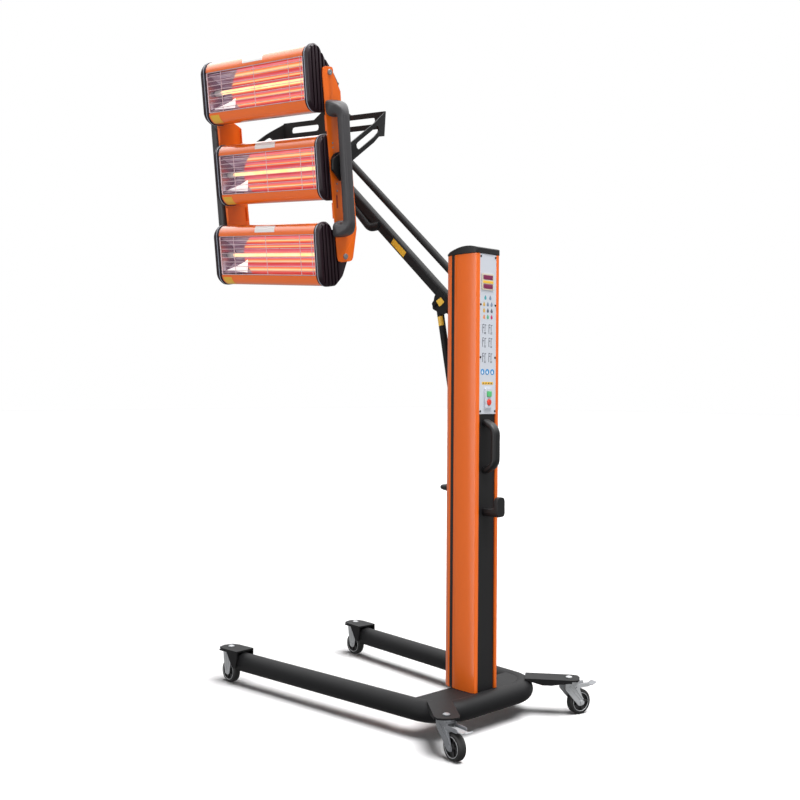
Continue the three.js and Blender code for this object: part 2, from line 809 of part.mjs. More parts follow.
function addColumn() {
  const footZ = basePlateTopZ + seatGap;
  const skin = slab('z', columnOutline(0), footZ, columnTopZ);
  const channelFloor = columnRearY + channelDepth;
  const hollowRear = channelFloor + columnWall;
  const hollowShape = rectangle(2 * columnRearHalf, columnDepth, 0, 0, hollowRear + columnDepth / 2);
  const hollowLimit = slab('z', hollowShape, footZ - overrun, columnTopZ + overrun);
  const hollow = slab('z', columnOutline(columnWall + grooveDepth / 2), footZ - overrun, columnTopZ + overrun)
    .intersect(hollowLimit);
  const channel = slab('z', rectangle(2 * channelHalf, 2 * channelDepth, 0, 0, columnRearY),
    footZ - overrun, columnTopZ + overrun);
  const slot = slab('y', rectangle(2 * slotHalf, slotTopZ - slotBottomZ, 0, 0, (slotTopZ + slotBottomZ) / 2),
    columnRearY + columnDepth / 2, columnRearY + columnDepth + overrun);
  const widest = (columnRearHalf + columnFrontHalf) / 2 + columnBow;
  const grooves = slab('z', rectangle(4 * columnRearHalf, grooveWidth, 0, 0, grooveNearY + grooveWidth / 2),
    footZ - overrun, columnTopZ + overrun);
  const grooveShare = (grooveNearY - columnRearY) / columnDepth;
  const grooveFloor = widest - columnBow * grooveShare - grooveDepth - seatGap;
  const core = slab('z', rectangle(2 * grooveFloor, 2 * grooveWidth, 0, 0, grooveNearY + grooveWidth / 2),
    footZ - 2 * overrun, columnTopZ + 2 * overrun);
  place(lamp, 'column_profile', 'orange', cut(skin, [hollow, channel, slot, cut(grooves, [core])]));

  const frontY = columnRearY + columnDepth;
  const base = columnTopZ + seatGap;
  const capSide = new THREE.Shape();
  capSide.moveTo(columnRearY - capEdge - overrun, base);
  capSide.lineTo(frontY + capEdge + overrun, base);
  capSide.lineTo(frontY + capEdge + overrun, base + capFront);
  capSide.quadraticCurveTo(columnRearY + columnDepth * capCrestShare, base + 2 * capCrown - capFront,
    columnRearY - capEdge - overrun, base + capRear);
  capSide.closePath();
  const capBlock = slab('x', capSide, -2 * columnRearHalf, 2 * columnRearHalf, capSteps);
  const capRim = slab('z', columnOutline(-capEdge), base, base + 2 * capCrown);
  const plugShape = rectangle(2 * columnRearHalf, columnDepth, 0, 0, hollowRear + seatGap + columnDepth / 2);
  const [plugFoot, plugTop] = [columnTopZ - capSkirt, base + weldSink];
  const plug = slab('z', columnOutline(columnWall + grooveDepth), plugFoot, plugTop)
    .intersect(slab('z', plugShape, plugFoot, plugTop));
  place(lamp, 'column_cap', 'plastic', capBlock.intersect(capRim).add(plug));

  const face = channelFloor - seatGap;
  const panelY = columnRearY + panelSetIn;
  const width = 2 * (channelHalf - seatGap);
  const panelMiddle = (columnTopZ + panelBottomZ) / 2;
  place(lamp, 'control_panel', 'silver',
    slab('y', rectangle(width, columnTopZ - panelBottomZ, panelCorner, 0, panelMiddle), panelY, face));
  const coverTop = panelBottomZ - seatGap;
  const coverShape = rectangle(width, coverTop - footZ, 0, 0, (coverTop + footZ) / 2);
  place(lamp, 'rear_cover', 'plastic', slab('y', coverShape, columnRearY + coverSetIn, face));

  addPanelParts(panelY - seatGap);
  addRearParts(columnRearY + coverSetIn - seatGap);
  addInnerFrame();

  const glandStart = frontY + seatGap;
  const rings = glandRingShares.map((share) => share * glandLength);
  const flange = glandRadius + glandFlange;
  place(lamp, 'cord_gland', 'plastic', turned('y', [
    [glandBore, 0], [flange, 0], [flange, rings[0]], [glandRadius, rings[1]], [glandRadius, rings[2]],
    [glandRadius * glandTaperShare, rings[3]], [glandBore + glandLip, glandLength], [glandBore, glandLength],
    [glandBore, 0],
  ], pinSides, [0, glandStart, glandZ]));
}

// Display and the two push buttons on the control panel, seated at the panel's face
function addPanelParts(seat) {
  const tall = displayTopZ - displayBottomZ;
  const middle = (displayTopZ + displayBottomZ) / 2;
  const bezelShape = rectangle(displayWidth, tall, displayCorner, displayCentreX, middle);
  const bezel = slab('y', bezelShape, seat - displayHeight, seat);
  const windows = [-1, 1].map((step) => {
    const windowZ = middle + step * displayWindowHeight;
    const shape = rectangle(displayWindowWidth, displayWindowHeight, displayRecess, displayCentreX, windowZ);
    return slab('y', shape, seat - displayHeight - overrun, seat - displayHeight + displayRecess);
  });
  place(lamp, 'display_window', 'plastic', cut(bezel, windows));

  const frameShape = rectangle(switchWidth, switchTall, switchCorner, 0, switchCentreZ);
  const frame = slab('y', frameShape, seat - switchProud, seat);
  const startZ = switchCentreZ + buttonSpacing / 2;
  const stopZ = switchCentreZ - buttonSpacing / 2;
  const wells = [
    slab('y', rectangle(startButtonWidth + 2 * buttonGap, startButtonTall + 2 * buttonGap, 0, 0, startZ),
      seat - 2 * switchProud, seat + overrun),
    bar('y', stopButtonRadius + buttonGap, seat - 2 * switchProud, seat + overrun, [0, 0, stopZ], roundSides),
  ];
  place(lamp, 'switch_frame', 'plastic', cut(frame, wells));
  const outer = seat - switchProud - buttonProud;
  const inner = seat - buttonTravel - seatGap;
  place(lamp, 'start_button', 'green',
    slab('y', rectangle(startButtonWidth, startButtonTall, startButtonCorner, 0, startZ), outer, inner));
  place(lamp, 'stop_button', 'red', turned('y', [
    [0, 0], [stopButtonRadius * stopButtonFaceShare, 0], [stopButtonRadius, buttonProud / 2],
    [stopButtonRadius, inner - outer], [0, inner - outer],
  ], pinSides, [0, outer, stopZ]));
}

// Grab handle and cable hook on the rear cover, seated at its face
function addRearParts(seat) {
  const across = grabWidth / 2;
  const out = seat - grabReach + grabThick / 2;
  const path = stations([
    [seat, grabTopZ, 0], [out, grabTopZ - grabThick, grabBend], [out, grabBottomZ + grabThick, grabBend],
    [seat, grabBottomZ, 0],
  ], bendSteps);
  const ring = ringSection(grabThick / 2, across, grabSides, grabRoundness);
  const grip = sweep(path, (y, z, x) => [grabCentreX + x, y, z], () => ring);
  const wallShape = rectangle(4 * grabWidth, 2 * (grabTopZ - grabBottomZ), 0, 0, (grabTopZ + grabBottomZ) / 2);
  const wall = slab('y', wallShape, seat, seat + 2 * grabThick);
  place(lamp, 'grab_handle', 'plastic', cut(grip, [wall]));

  const hookOut = seat - hookReach;
  const stemTop = hookBottomZ + hookStemTall;
  const plateTop = hookBottomZ + hookPlateTall;
  const side = slab('x', outline([
    [seat, hookBottomZ], [seat, stemTop], [hookOut + hookPlateThick, stemTop, hookCorners.above],
    [hookOut + hookPlateThick, plateTop], [hookOut, plateTop], [hookOut, hookBottomZ, hookCorners.below],
  ]), -hookWidth / 2, hookWidth / 2);
  const frontShape = rectangle(hookWidth, hookPlateTall, hookCorners.plate, 0, hookBottomZ + hookPlateTall / 2);
  const front = slab('y', frontShape, hookOut - overrun, seat + overrun);
  place(lamp, 'cable_hook', 'plastic', side.intersect(front));
}

// Folded steel frame inside the column with the three pivot pins
const frameWidthHalf = frameCheekHalf + frameSheet;
const frameRearY = columnRearY + channelDepth + columnWall + seatGap;
function addInnerFrame() {
  const tall = frameTopZ - frameBottomZ;
  const middle = (frameTopZ + frameBottomZ) / 2;
  const backShape = rectangle(2 * frameWidthHalf, tall, 0, 0, middle);
  const back = slab('y', backShape, frameRearY, frameRearY + frameSheet);
  const depth = frameFrontY - frameRearY;
  const cheekShape = rectangle(depth, tall, 2 * frameSheet, frameRearY + depth / 2, middle);
  const cheeks = [-frameWidthHalf, frameCheekHalf].map(
    (from) => slab('x', cheekShape, from, from + frameSheet));
  const pins = [
    bar('x', pinRadius, -frameWidthHalf, frameWidthHalf, [0, armPivotY, armPivotZ]),
    bar('x', pinRadius, -frameWidthHalf, frameWidthHalf, [0, armPivotY, armPivotZ + linkSpacing]),
    bar('x', strutPinRadius, -frameWidthHalf, frameWidthHalf, [0, strutFootY, strutFootZ]),
  ];
  place(lamp, 'inner_frame', 'zinc', join([back, ...cheeks, ...pins]));
}

// A link along +Y from the origin: body, an eye at each end, and a bore through each eye
function linkBody(body, length, eyeOuter, eyeHalf) {
  const eyes = [0, length].map((y) => bar('x', eyeOuter, -eyeHalf, eyeHalf, [0, y, 0], tubeSides));
  const [from, to] = [-eyeHalf - overrun, eyeHalf + overrun];
  const bores = [0, length].map((y) => bar('x', boreFor(pinRadius), from, to, [0, y, 0]));
  return cut(join([body, ...eyes]), bores);
}

function addArm() {
  const arm = nest(lamp, [0, armPivotY, armPivotZ], { x: armAngle });
  const eyeHalf = frameCheekHalf - 2 * seatGap;
  const outer = slab('y', rectangle(armWide, armTall, armCorner), -armOvershoot, armLength + armOvershoot);
  const core = slab('y', rectangle(armWide - 2 * armWall, armTall - 2 * armWall, armCorner - armWall),
    -armOvershoot - overrun, armLength + armOvershoot + overrun);
  place(arm, 'main_arm', 'black', linkBody(cut(outer, [core]), armLength, pinRadius + bushWall, eyeHalf));

  const tie = nest(lamp, [0, armPivotY, armPivotZ + linkSpacing], { x: armAngle });
  const rod = bar('y', tieRadius, 0, armLength, [0, 0, 0], tubeSides);
  place(tie, 'tie_rod', 'black', linkBody(rod, armLength, eyeRadius, eyeHalf));

  addStrut(arm);
  addConduit(arm);
  const knuckle = nest(arm, [0, armLength, 0], { x: -armAngle });
  addKnuckle(knuckle);
}

// Gas strut: saddle bracket under the arm, cylinder below it, rod down to the pin inside the column.
// The rod's eye is oblong, so that the pin has play across the strut as the arm swings.
function addStrut(arm) {
  const dy = strutHeadY - armPivotY;
  const dz = strutHeadZ - armPivotZ;
  const tilt = radians(armAngle);
  const head = [dy * Math.cos(tilt) + dz * Math.sin(tilt), dz * Math.cos(tilt) - dy * Math.sin(tilt)];
  const armSide = armWide / 2 + seatGap;
  const underside = -armTall / 2 - seatGap;
  const cheek = outline([
    [saddleStart, armTall / 4], [saddleStart, head[1] + strutPinRadius],
    [saddleStart + strutPinRadius, head[1] - strutPinRadius], [head[0], head[1] - saddleDrop, saddleCorner],
    [saddleStart + saddleLength, underside, saddleCorner], [saddleStart + saddleLength, armTall / 4],
  ]);
  const cheeks = [-armSide - frameSheet, armSide].map((from) => slab('x', cheek, from, from + frameSheet));
  const webLength = saddleLength / 4;
  const webShape = rectangle(2 * armSide + 2 * weldSink, webLength, 0, 0, saddleStart + webLength / 2);
  const web = slab('z', webShape, underside - frameSheet, underside);
  const pinHalf = armSide + frameSheet;
  const pin = bar('x', strutPinRadius, -pinHalf - weldSink, pinHalf + weldSink, [0, head[0], head[1]]);
  const heads = [-pinHalf - strutPinRadius, pinHalf - weldSink].map((from) =>
    bar('x', strutBoltRadius, from, from + strutPinRadius + weldSink, [0, head[0], head[1]], forkHexSides));
  place(arm, 'strut_bracket', 'black', join([...cheeks, web, pin, ...heads]));

  const reach = Math.hypot(strutHeadY - strutFootY, strutHeadZ - strutFootZ);
  const lean = THREE.MathUtils.radToDeg(Math.atan2(strutFootZ - strutHeadZ, strutFootY - strutHeadY));
  const strut = nest(lamp, [0, strutHeadY, strutHeadZ], { x: lean });
  const eyeBore = (y) => bar('x', boreFor(strutPinRadius), -2 * strutEyeHalf, 2 * strutEyeHalf, [0, y, 0]);
  const body = join([
    bar('x', strutEyeRadius, -strutEyeHalf, strutEyeHalf, [0, 0, 0], roundSides),
    bar('y', strutRodRadius, strutEyeRadius / 2, strutNeck + weldSink),
    bar('y', strutRadius, strutNeck, strutBodyLength, [0, 0, 0], tubeSides),
  ]);
  const rodBore = bar('y', boreFor(strutRodRadius), 2 * strutNeck, strutBodyLength + overrun);
  place(strut, 'strut_cylinder', 'black', cut(body, [eyeBore(0), rodBore]));
  const slotRadius = strutPinRadius + seatGap + strutPlay.along;
  const playLength = strutPlay.front + strutPlay.back;
  const oblong = (radius, half) => slab('x', rectangle(2 * radius, 2 * radius + playLength, radius,
    reach, (strutPlay.front - strutPlay.back) / 2), -half, half, pinSides / 2);
  const rod = join([
    bar('y', strutRodRadius, reach - strutBodyLength + strutNeck, reach - slotRadius - weldSink),
    oblong(slotRadius + strutEyeWall, strutEyeHalf),
  ]);
  place(strut, 'strut_rod', 'zinc', cut(rod, [oblong(slotRadius, 2 * strutEyeHalf)]));
}

// Bent pipe under the arm that leads the wires to the head
function addConduit(arm) {
  const top = -armTall / 2 - seatGap;
  const path = stations([
    [conduitStart, 0, 0], [conduitStart + conduitDrop, -conduitDrop, conduitBend],
    [conduitEnd - conduitTopDrop, -conduitTopDrop, conduitBend], [conduitEnd, 0, 0],
  ], bendSteps);
  const ring = ringSection(conduitRadius, conduitRadius, tubeSides);
  const pipe = sweep(path, (y, z, x) => [x, y, z], () => ring);
  const above = slab('z', rectangle(4 * armWide, 2 * conduitEnd, 0, 0, conduitEnd), top, 2 * armTall);
  place(arm, 'arm_conduit', 'black', cut(pipe, [above]));
}

// Knuckle at the top of the parallelogram, its spindle leaning back
function addKnuckle(knuckle) {
  const inner = frameCheekHalf;
  const lean = radians(spindleLean);
  const topY = spindleY - spindleFlangeZ * Math.sin(lean);
  const lip = spindleFlangeRadius * knuckleLipShare;
  const cheek = outline([
    [-knuckleEdge, -knuckleEdge, knuckleEdge / 2], [knuckleEdge, -knuckleEdge, knuckleEdge / 2],
    [topY + lip, spindleFlangeZ * knuckleWaistShare, knuckleEdge], [topY + lip, spindleFlangeZ - flangeThick],
    [topY - lip, spindleFlangeZ - 2 * flangeThick], [-knuckleEdge, linkSpacing + knuckleEdge, knuckleEdge / 2],
  ]);
  const outer = inner + knuckleSheet;
  const cheeks = [-outer, inner].map((from) => slab('x', cheek, from, from + knuckleSheet));
  const pins = [0, linkSpacing].map((z) => bar('x', pinRadius, -outer, outer, [0, 0, z]));
  const webRear = topY - spindleFlangeRadius * knuckleWebShares.rear;
  const webFront = topY + spindleFlangeRadius * knuckleWebShares.front;
  const webFoot = spindleFlangeZ * knuckleWebShares.foot;
  const webTop = spindleFlangeZ - flangeThick;
  const web = slab('x', outline([
    [webRear, webFoot], [webFront, webFoot], [webFront, webTop], [webRear, webTop],
  ]), -inner - weldSink, inner + weldSink);
  const flangeBottom = spindleFlangeZ - 2 * flangeThick;
  const upright = join([
    bar('z', spindleFlangeRadius, flangeBottom, spindleFlangeZ, [0, 0, 0], roundSides),
    bar('z', spindleRadius, webTop, spindleFlangeZ + spindleLength, [0, 0, 0], roundSides),
  ]).rotate([spindleLean, 0, 0]).translate([0, spindleY, 0]);
  place(knuckle, 'knuckle', 'black', join([...cheeks, ...pins, web, upright]));
  const foot = nest(knuckle, [0, spindleY, 0], { x: spindleLean });
  const yoke = nest(foot, [0, 0, spindleFlangeZ], { z: headYaw });
  addYoke(yoke);
}

// Yoke: hub on the spindle, slotted cross strip, and two slotted fork arms down to the tilt axis
const pivotZ = tiltAxisZ - armPivotZ - armLength * Math.sin(radians(armAngle)) - spindleFlangeZ;
function addYoke(yoke) {
  const hub = bar('z', hubRadiusOuter, seatGap, hubTall, [0, 0, 0], roundSides);
  const boreRadius = boreFor(spindleRadius, roundSides);
  const bore = bar('z', boreRadius, -overrun, spindleLength + seatGap, [0, 0, 0], roundSides);
  const frontY = stripForward;
  const strip = slab('y', outline([
    [-stripHalf, stripBottom], [stripHalf, stripBottom], [stripHalf, stripTop], [humpFoot, stripTop],
    [humpHalf, hubTall - overrun], [-humpHalf, hubTall - overrun], [-humpFoot, stripTop], [-stripHalf, stripTop],
  ]), frontY, frontY + yokeSheet);
  const slotWide = stripSlotFar - stripSlotNear;
  const stripMiddle = (stripTop + stripBottom) / 2;
  const slots = [-1, 1].map((side) => slab('y',
    rectangle(slotWide, slotTall, slotTall / 2, side * (stripSlotFar + stripSlotNear) / 2, stripMiddle),
    frontY - overrun, frontY + yokeSheet + overrun));
  const crossPiece = cut(strip, slots);
  const forks = [-1, 1].map((side) => forkArm(side));
  place(yoke, 'yoke', 'black', cut(join([hub, crossPiece, ...forks]), [bore]));
  const head = nest(yoke, [0, pivotForward, pivotZ], { x: -headTilt });
  addHead(head);
  addTiltBolts(yoke);
}

// One fork arm: a flat slotted strap from the strip's end down to the tilt boss, spreading outward
function forkArm(side) {
  const startY = stripForward;
  const flatFace = railOuter + 2 * seatGap;
  const bendY = pivotForward - forkFlatLength;
  const inner = stripHalf - yokeSheet;
  const spread = (flatFace - inner) / (bendY - startY);
  const middleZ = (stripTop + stripBottom) / 2;
  const run = new THREE.Vector2(pivotForward - startY, pivotZ - middleZ);
  const across = new THREE.Vector2(-run.y, run.x).normalize();
  const at = (share, off) => [
    startY + run.x * share + across.x * off, middleZ + run.y * share + across.y * off,
  ];
  const edge = forkWide / 2;
  const strap = outline([
    [startY, stripTop], [startY, stripBottom - edge], at(forkRootShares.under, -edge), at(1, -edge),
    at(1, edge), at(forkRootShares.over, edge),
  ]);
  const end = slotTall / 2;
  const slot = outline([
    [...at(forkSlotShares.near, -end), end], [...at(forkSlotShares.far, -end), end],
    [...at(forkSlotShares.far, end), end], [...at(forkSlotShares.near, end), end],
  ]);
  const leaning = [1, 0, 0, 0, spread, 1, 0, 0, 0, 0, 1, 0, inner - spread * startY, 0, 0, 1];
  const ahead = slab('x', rectangle(forkFlatLength + 2 * bossRadius, 4 * pivotForward, 0,
    bendY + forkFlatLength / 2 + bossRadius), 0, 2 * bossOuter);
  const strapBody = cut(slab('x', strap, 0, yokeSheet).transform(leaning), [ahead]);
  const flatBody = slab('x', strap, flatFace, flatFace + yokeSheet).intersect(ahead);
  const puck = bar('x', bossRadius, flatFace, bossOuter, [0, pivotForward, pivotZ], roundSides);
  const arm = join([strapBody, flatBody, puck]);
  const body = cut(arm, [
    slab('x', slot, -overrun, 2 * yokeSheet).transform(leaning),
    slab('x', slot, flatFace - overrun, flatFace + 2 * yokeSheet).intersect(ahead),
    bar('x', boreFor(tiltBoltRadius), inner, bossOuter + overrun, [0, pivotForward, pivotZ]),
  ]);
  return side < 0 ? body.mirror([1, 0, 0]) : body;
}

// Tilt bolts through the fork ends and the rails
function addTiltBolts(yoke) {
  for (const [side, name] of [[-1, 'right'], [1, 'left']]) {
    const inner = housingHalf + capThick / 2;
    const face = bossOuter + seatGap;
    const profile = [
      [0, inner], [tiltBoltRadius, inner], [tiltBoltRadius, face],
      [tiltHeadRadius, face], [tiltHeadRadius, face + tiltHeadHeight / 2],
      [tiltHeadRadius * tiltHeadFaceShare, face + tiltHeadHeight], [0, face + tiltHeadHeight],
    ].map(([radius, along]) => [radius, side * along]);
    if (side < 0) profile.reverse();
    place(yoke, `tilt_bolt_${name}`, 'black', turned('x', profile, pinSides, [0, pivotForward, pivotZ]));
  }
}

// Side rail: a folded strip with a hole on the tilt axis and a tab at each end for a cassette's pivot screw
function railBody(side) {
  const [foot, crown] = [bottomPivot.z - tabRadius, topPivot.z + tabRadius];
  const web = outline([
    [railFront.bottom, foot, tabRadius], [railFront.top, crown, tabRadius],
    [topPivot.y - tabRadius, crown, tabRadius], [topPivot.y - tabRadius, topPivot.z],
    [railBack.top, railTopZ - tabRadius], [railBack.top, railTaperZ + tabRadius], [railBack.middle, railTaperZ],
    [railBack.bottom, railBottomZ + tabRadius * 3], [bottomPivot.y - 2 * tabRadius, foot, tabRadius],
  ]);
  const frontAt = (z) => THREE.MathUtils.mapLinear(z, foot, crown, railFront.bottom, railFront.top);
  const inner = railOuter - railSheet;
  const parts = [slab('x', web, inner, railOuter)];
  for (const end of [-1, 1]) {
    const middle = end * cassettePitch / 2 - headDrop;
    const tall = cassettePitch - 2 * (cassetteHalfTall + capOversize + railFlangeClear);
    parts.push(slab('x', rectangle(railSheet, tall, 0, frontAt(middle - tall / 2) - railSheet / 2, middle),
      railOuter - railFlange, inner + weldSink));
    parts.push(slab('x', rectangle(railSheet, tall, 0, railBack.middle + railSheet, middle),
      railOuter - railFlange, inner + weldSink));
  }
  for (const pivot of [topPivot, bottomPivot]) {
    const at = [0, pivot.y, pivot.z];
    const headOuter = railOuter + pivotScrewRadius;
    parts.push(bar('x', pivotScrewHead, railOuter - weldSink, headOuter, at, pivotHeadSides));
    parts.push(bar('x', pivotScrewRadius, inner - capThick / 2, railOuter, at));
  }
  const hole = bar('x', boreFor(tiltBoltRadius), inner - overrun, railOuter + overrun);
  const body = cut(join(parts), [hole]);
  return side < 0 ? body.mirror([1, 0, 0]) : body;
}

// Side handle: a bent grip whose ends flare into broad feet on the rail
function handleBody(side) {
  const seat = railOuter + seatGap;
  const out = railOuter + handleReach;
  const path = stations([
    [seat, handleTopZ, 0], [out, handleTopZ - handleTube / 4, handleBend],
    [out, handleBottomZ + handleTube / 4, handleBend], [seat, handleBottomZ, 0],
  ], bendSteps);
  const last = path.length - 1;
  const ring = (index) => {
    const end = Math.min(index, last - index);
    const share = Math.max(0, 1 - end / (bendSteps + 1));
    const wide = handleTube + (handleFoot - handleTube) * share;
    return ringSection(handleTube / 2, wide / 2, handleSides, handleRoundness);
  };
  const body = sweep(path, (x, z, across) => [side * x, handleY + across, z], ring);
  const wall = slab('x', rectangle(4 * handleFoot, 4 * handleTopZ), 0, seat);
  return cut(body, [side < 0 ? wall.mirror([1, 0, 0]) : wall]);
}

function addHead(head) {
  for (const [side, name] of [[-1, 'right'], [1, 'left']]) {
    place(head, `side_rail_${name}`, 'orange', railBody(side));
    place(head, `side_handle_${name}`, 'plastic', handleBody(side));
  }
  const names = ['top', 'middle', 'bottom'];
  for (let index = 0; index < cassetteCount; index += 1) {
    const step = 1 - index;
    const setback = step === 0 ? middleSetback : 0;
    const cassette = nest(head, [0, grilleForward - setback, step * cassettePitch - headDrop]);
    const pivot = [tiltAxis, topPivot, bottomPivot].at(step);
    const hole = [pivot.y - grilleForward + setback, pivot.z - step * cassettePitch + headDrop];
    addCassette(cassette, names[index], hole, step === 0 ? tiltBoltRadius : pivotScrewRadius);
  }
}

// Corners of the cassette's section: rounded lips, a slope behind the upper one and a fuller back below
const cassetteCorners = [
  [0, cassetteHalfTall, cassetteFrontRadius], [-cassetteUpper.shoulder, cassetteHalfTall, cassetteRearRadius],
  [-cassetteUpper.waist, cassetteUpper.waistHalf, 0], [-cassetteUpper.back, cassetteUpper.backHalf, 0],
  [-cassetteRearmost.depth, -cassetteRearmost.below, cassetteRearRadius],
  [-cassetteLower.back, -cassetteLower.backHalf, 0], [-cassetteLower.waist, -cassetteLower.waistHalf, 0],
  [-cassetteLower.shoulder, -cassetteHalfTall, cassetteRearRadius], [0, -cassetteHalfTall, cassetteFrontRadius],
];
const cassetteOutline = (inset) => outline(shrink(cassetteCorners, inset));

function addCassette(group, name, pivot, screwRadius) {
  const mouthShape = rectangle(2 * housingHalf + 2 * overrun, 2 * grilleHalf);
  const opening = slab('y', mouthShape, -cassetteFrontRadius, overrun);
  const skin = slab('x', cassetteOutline(0), -housingHalf, housingHalf);
  const core = slab('x', cassetteOutline(cassetteWall), -housingHalf - overrun, housingHalf + overrun);
  place(group, `${name}_housing`, 'orange', cut(skin, [core, opening]));

  const mouth = grilleHalf - reflectorSetback;
  const trough = (offset) => Array.from({ length: reflectorPoints }, (_, index) => {
    const share = (2 * index) / (reflectorPoints - 1) - 1;
    return [-(reflectorDepth + offset) * (1 - share * share) - reflectorSetback, share * (mouth + offset)];
  });
  const sheet = outline([...trough(reflectorSheet), ...trough(0).reverse()]);
  const inside = housingHalf - seatGap;
  place(group, `${name}_reflector`, 'reflector', slab('x', sheet, -inside, inside));

  const glassEnd = inside - ceramicLength;
  place(group, `${name}_infrared_tube`, 'glow', turned('x', [
    [0, -inside], [ceramicRadius, -inside], [ceramicRadius, -glassEnd], [lampRadius, -glassEnd],
    [lampRadius, glassEnd], [ceramicRadius, glassEnd], [ceramicRadius, inside], [0, inside],
  ], tubeSides, [0, -lampSetback, 0]));

  place(group, `${name}_grille`, 'wire', grilleBody(inside));

  for (const [side, end] of [[-1, 'right'], [1, 'left']]) {
    const from = housingHalf + seatGap;
    const [rim, face] = [from + capThick / 4, from + capThick];
    const dome = {
      bevelThickness: capDomeThick, bevelSize: capDome, bevelOffset: -capDome, bevelSegments: domeSteps,
    };
    const cover = join([
      slab('x', cassetteOutline(0), from, rim + weldSink),
      slab('x', cassetteOutline(-capOversize), rim, face - capDomeThick),
      slab('x', cassetteOutline(-capOversize), rim + capDomeThick, face - capDomeThick, cornerSteps, dome),
    ]);
    const grooves = Array.from({ length: ribCount }, (_, index) => {
      const y = -ribSpan * ((index + 1) / (ribCount + 1));
      return slab('z', rectangle(ribGrooveDeep + capDomeThick, ribGroove, 0, face - ribGrooveDeep / 2, y),
        -2 * cassetteHalfTall, 2 * cassetteHalfTall);
    });
    grooves.push(bar('x', boreFor(screwRadius), rim, face + overrun, [0, ...pivot]));
    const body = cut(cover, grooves);
    place(group, `${name}_cap_${end}`, 'plastic', side < 0 ? body.mirror([1, 0, 0]) : body);
  }
}

// Guard grille: a deep wire frame with long wires across it and cross wires just behind them
function grilleBody(inside) {
  const half = grilleHalf - seatGap;
  const thick = 2 * wireRadius;
  const [back, front] = [-thick - wireRadius, 0];
  const frame = slab('y', rectangle(2 * inside, 2 * half), back, front);
  const window = slab('y', rectangle(2 * inside - 2 * thick, 2 * half - 2 * thick), back - overrun, overrun);
  const wires = [];
  for (let index = 1; index <= longWireCount; index += 1) {
    const z = half * ((2 * index) / (longWireCount + 1) - 1);
    wires.push(bar('x', wireRadius, -inside + wireRadius, inside - wireRadius, [0, -wireRadius, z], wireSides));
  }
  const crossFront = -thick - wireGap;
  for (const share of crossWireShares) {
    const shape = rectangle(thick, 2 * half - thick, 0, share * inside, 0);
    wires.push(slab('y', shape, crossFront - thick, crossFront));
  }
  return join([cut(frame, [window]), ...wires]);
}

addBase();
addColumn();
addArm();

// Stand the lamp with the middle of its footprint box at the origin
lamp.updateWorldMatrix(true, true);
const reach = new THREE.Box3().setFromObject(lamp, true);
const middle = reach.getCenter(new THREE.Vector3());
lamp.position.set(-middle.x, -middle.y, -reach.min.z);

export default lamp;
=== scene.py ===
import json
import math

import bmesh
import bpy
import numpy as np
from mathutils import Matrix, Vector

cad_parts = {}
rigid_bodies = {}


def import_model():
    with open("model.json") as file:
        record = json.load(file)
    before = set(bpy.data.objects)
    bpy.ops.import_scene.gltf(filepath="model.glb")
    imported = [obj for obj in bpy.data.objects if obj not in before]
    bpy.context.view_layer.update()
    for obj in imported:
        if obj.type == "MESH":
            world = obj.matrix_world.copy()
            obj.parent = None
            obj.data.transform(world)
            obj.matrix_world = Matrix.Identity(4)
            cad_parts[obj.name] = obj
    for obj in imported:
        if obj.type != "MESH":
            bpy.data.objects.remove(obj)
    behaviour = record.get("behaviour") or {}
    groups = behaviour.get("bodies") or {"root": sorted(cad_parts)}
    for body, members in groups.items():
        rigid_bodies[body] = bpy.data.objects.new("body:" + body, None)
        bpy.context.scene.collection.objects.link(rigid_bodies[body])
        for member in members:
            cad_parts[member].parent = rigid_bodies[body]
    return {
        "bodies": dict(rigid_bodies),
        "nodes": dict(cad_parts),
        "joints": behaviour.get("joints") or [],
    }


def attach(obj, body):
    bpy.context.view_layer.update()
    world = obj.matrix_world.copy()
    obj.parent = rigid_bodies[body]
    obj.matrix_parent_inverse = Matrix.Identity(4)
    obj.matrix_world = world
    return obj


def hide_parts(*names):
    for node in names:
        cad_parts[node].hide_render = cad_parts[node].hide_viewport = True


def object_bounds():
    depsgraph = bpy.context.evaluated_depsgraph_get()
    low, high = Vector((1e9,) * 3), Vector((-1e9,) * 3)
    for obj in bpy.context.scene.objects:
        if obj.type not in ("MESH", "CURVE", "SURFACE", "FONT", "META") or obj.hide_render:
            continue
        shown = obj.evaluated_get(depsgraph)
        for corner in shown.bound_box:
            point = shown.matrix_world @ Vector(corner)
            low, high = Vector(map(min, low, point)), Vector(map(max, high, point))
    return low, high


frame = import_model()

MM = 0.001
cad_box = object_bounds()
joints = {joint["name"]: joint for joint in frame["joints"]}


def unit(vector):
    """The vector divided by its length."""
    vector = np.asarray(vector, float)
    return vector / np.linalg.norm(vector)


class Place:
    """A right-handed local frame: a point is the origin plus x, y and z millimetres along its axes."""

    def __init__(self, origin_m, x, z):
        x = unit(x)
        z = unit(np.asarray(z, float) - x * np.dot(x, z))
        self.axes = np.array([x, np.cross(z, x), z])
        self.origin = np.asarray(origin_m, float)

    def __call__(self, points):
        return self.origin + np.asarray(points, float) @ self.axes * MM

    def moved(self, x=0.0, y=0.0, z=0.0):
        """The same axes with the origin moved by millimetres along them."""
        return Place(self((x, y, z)), self.axes[0], self.axes[2])


def pivot(name):
    """A joint's point in metres."""
    return np.array(joints[name]["pos_m"], float)


def axis(name):
    """A joint's axis."""
    return np.array(joints[name]["axis"], float)


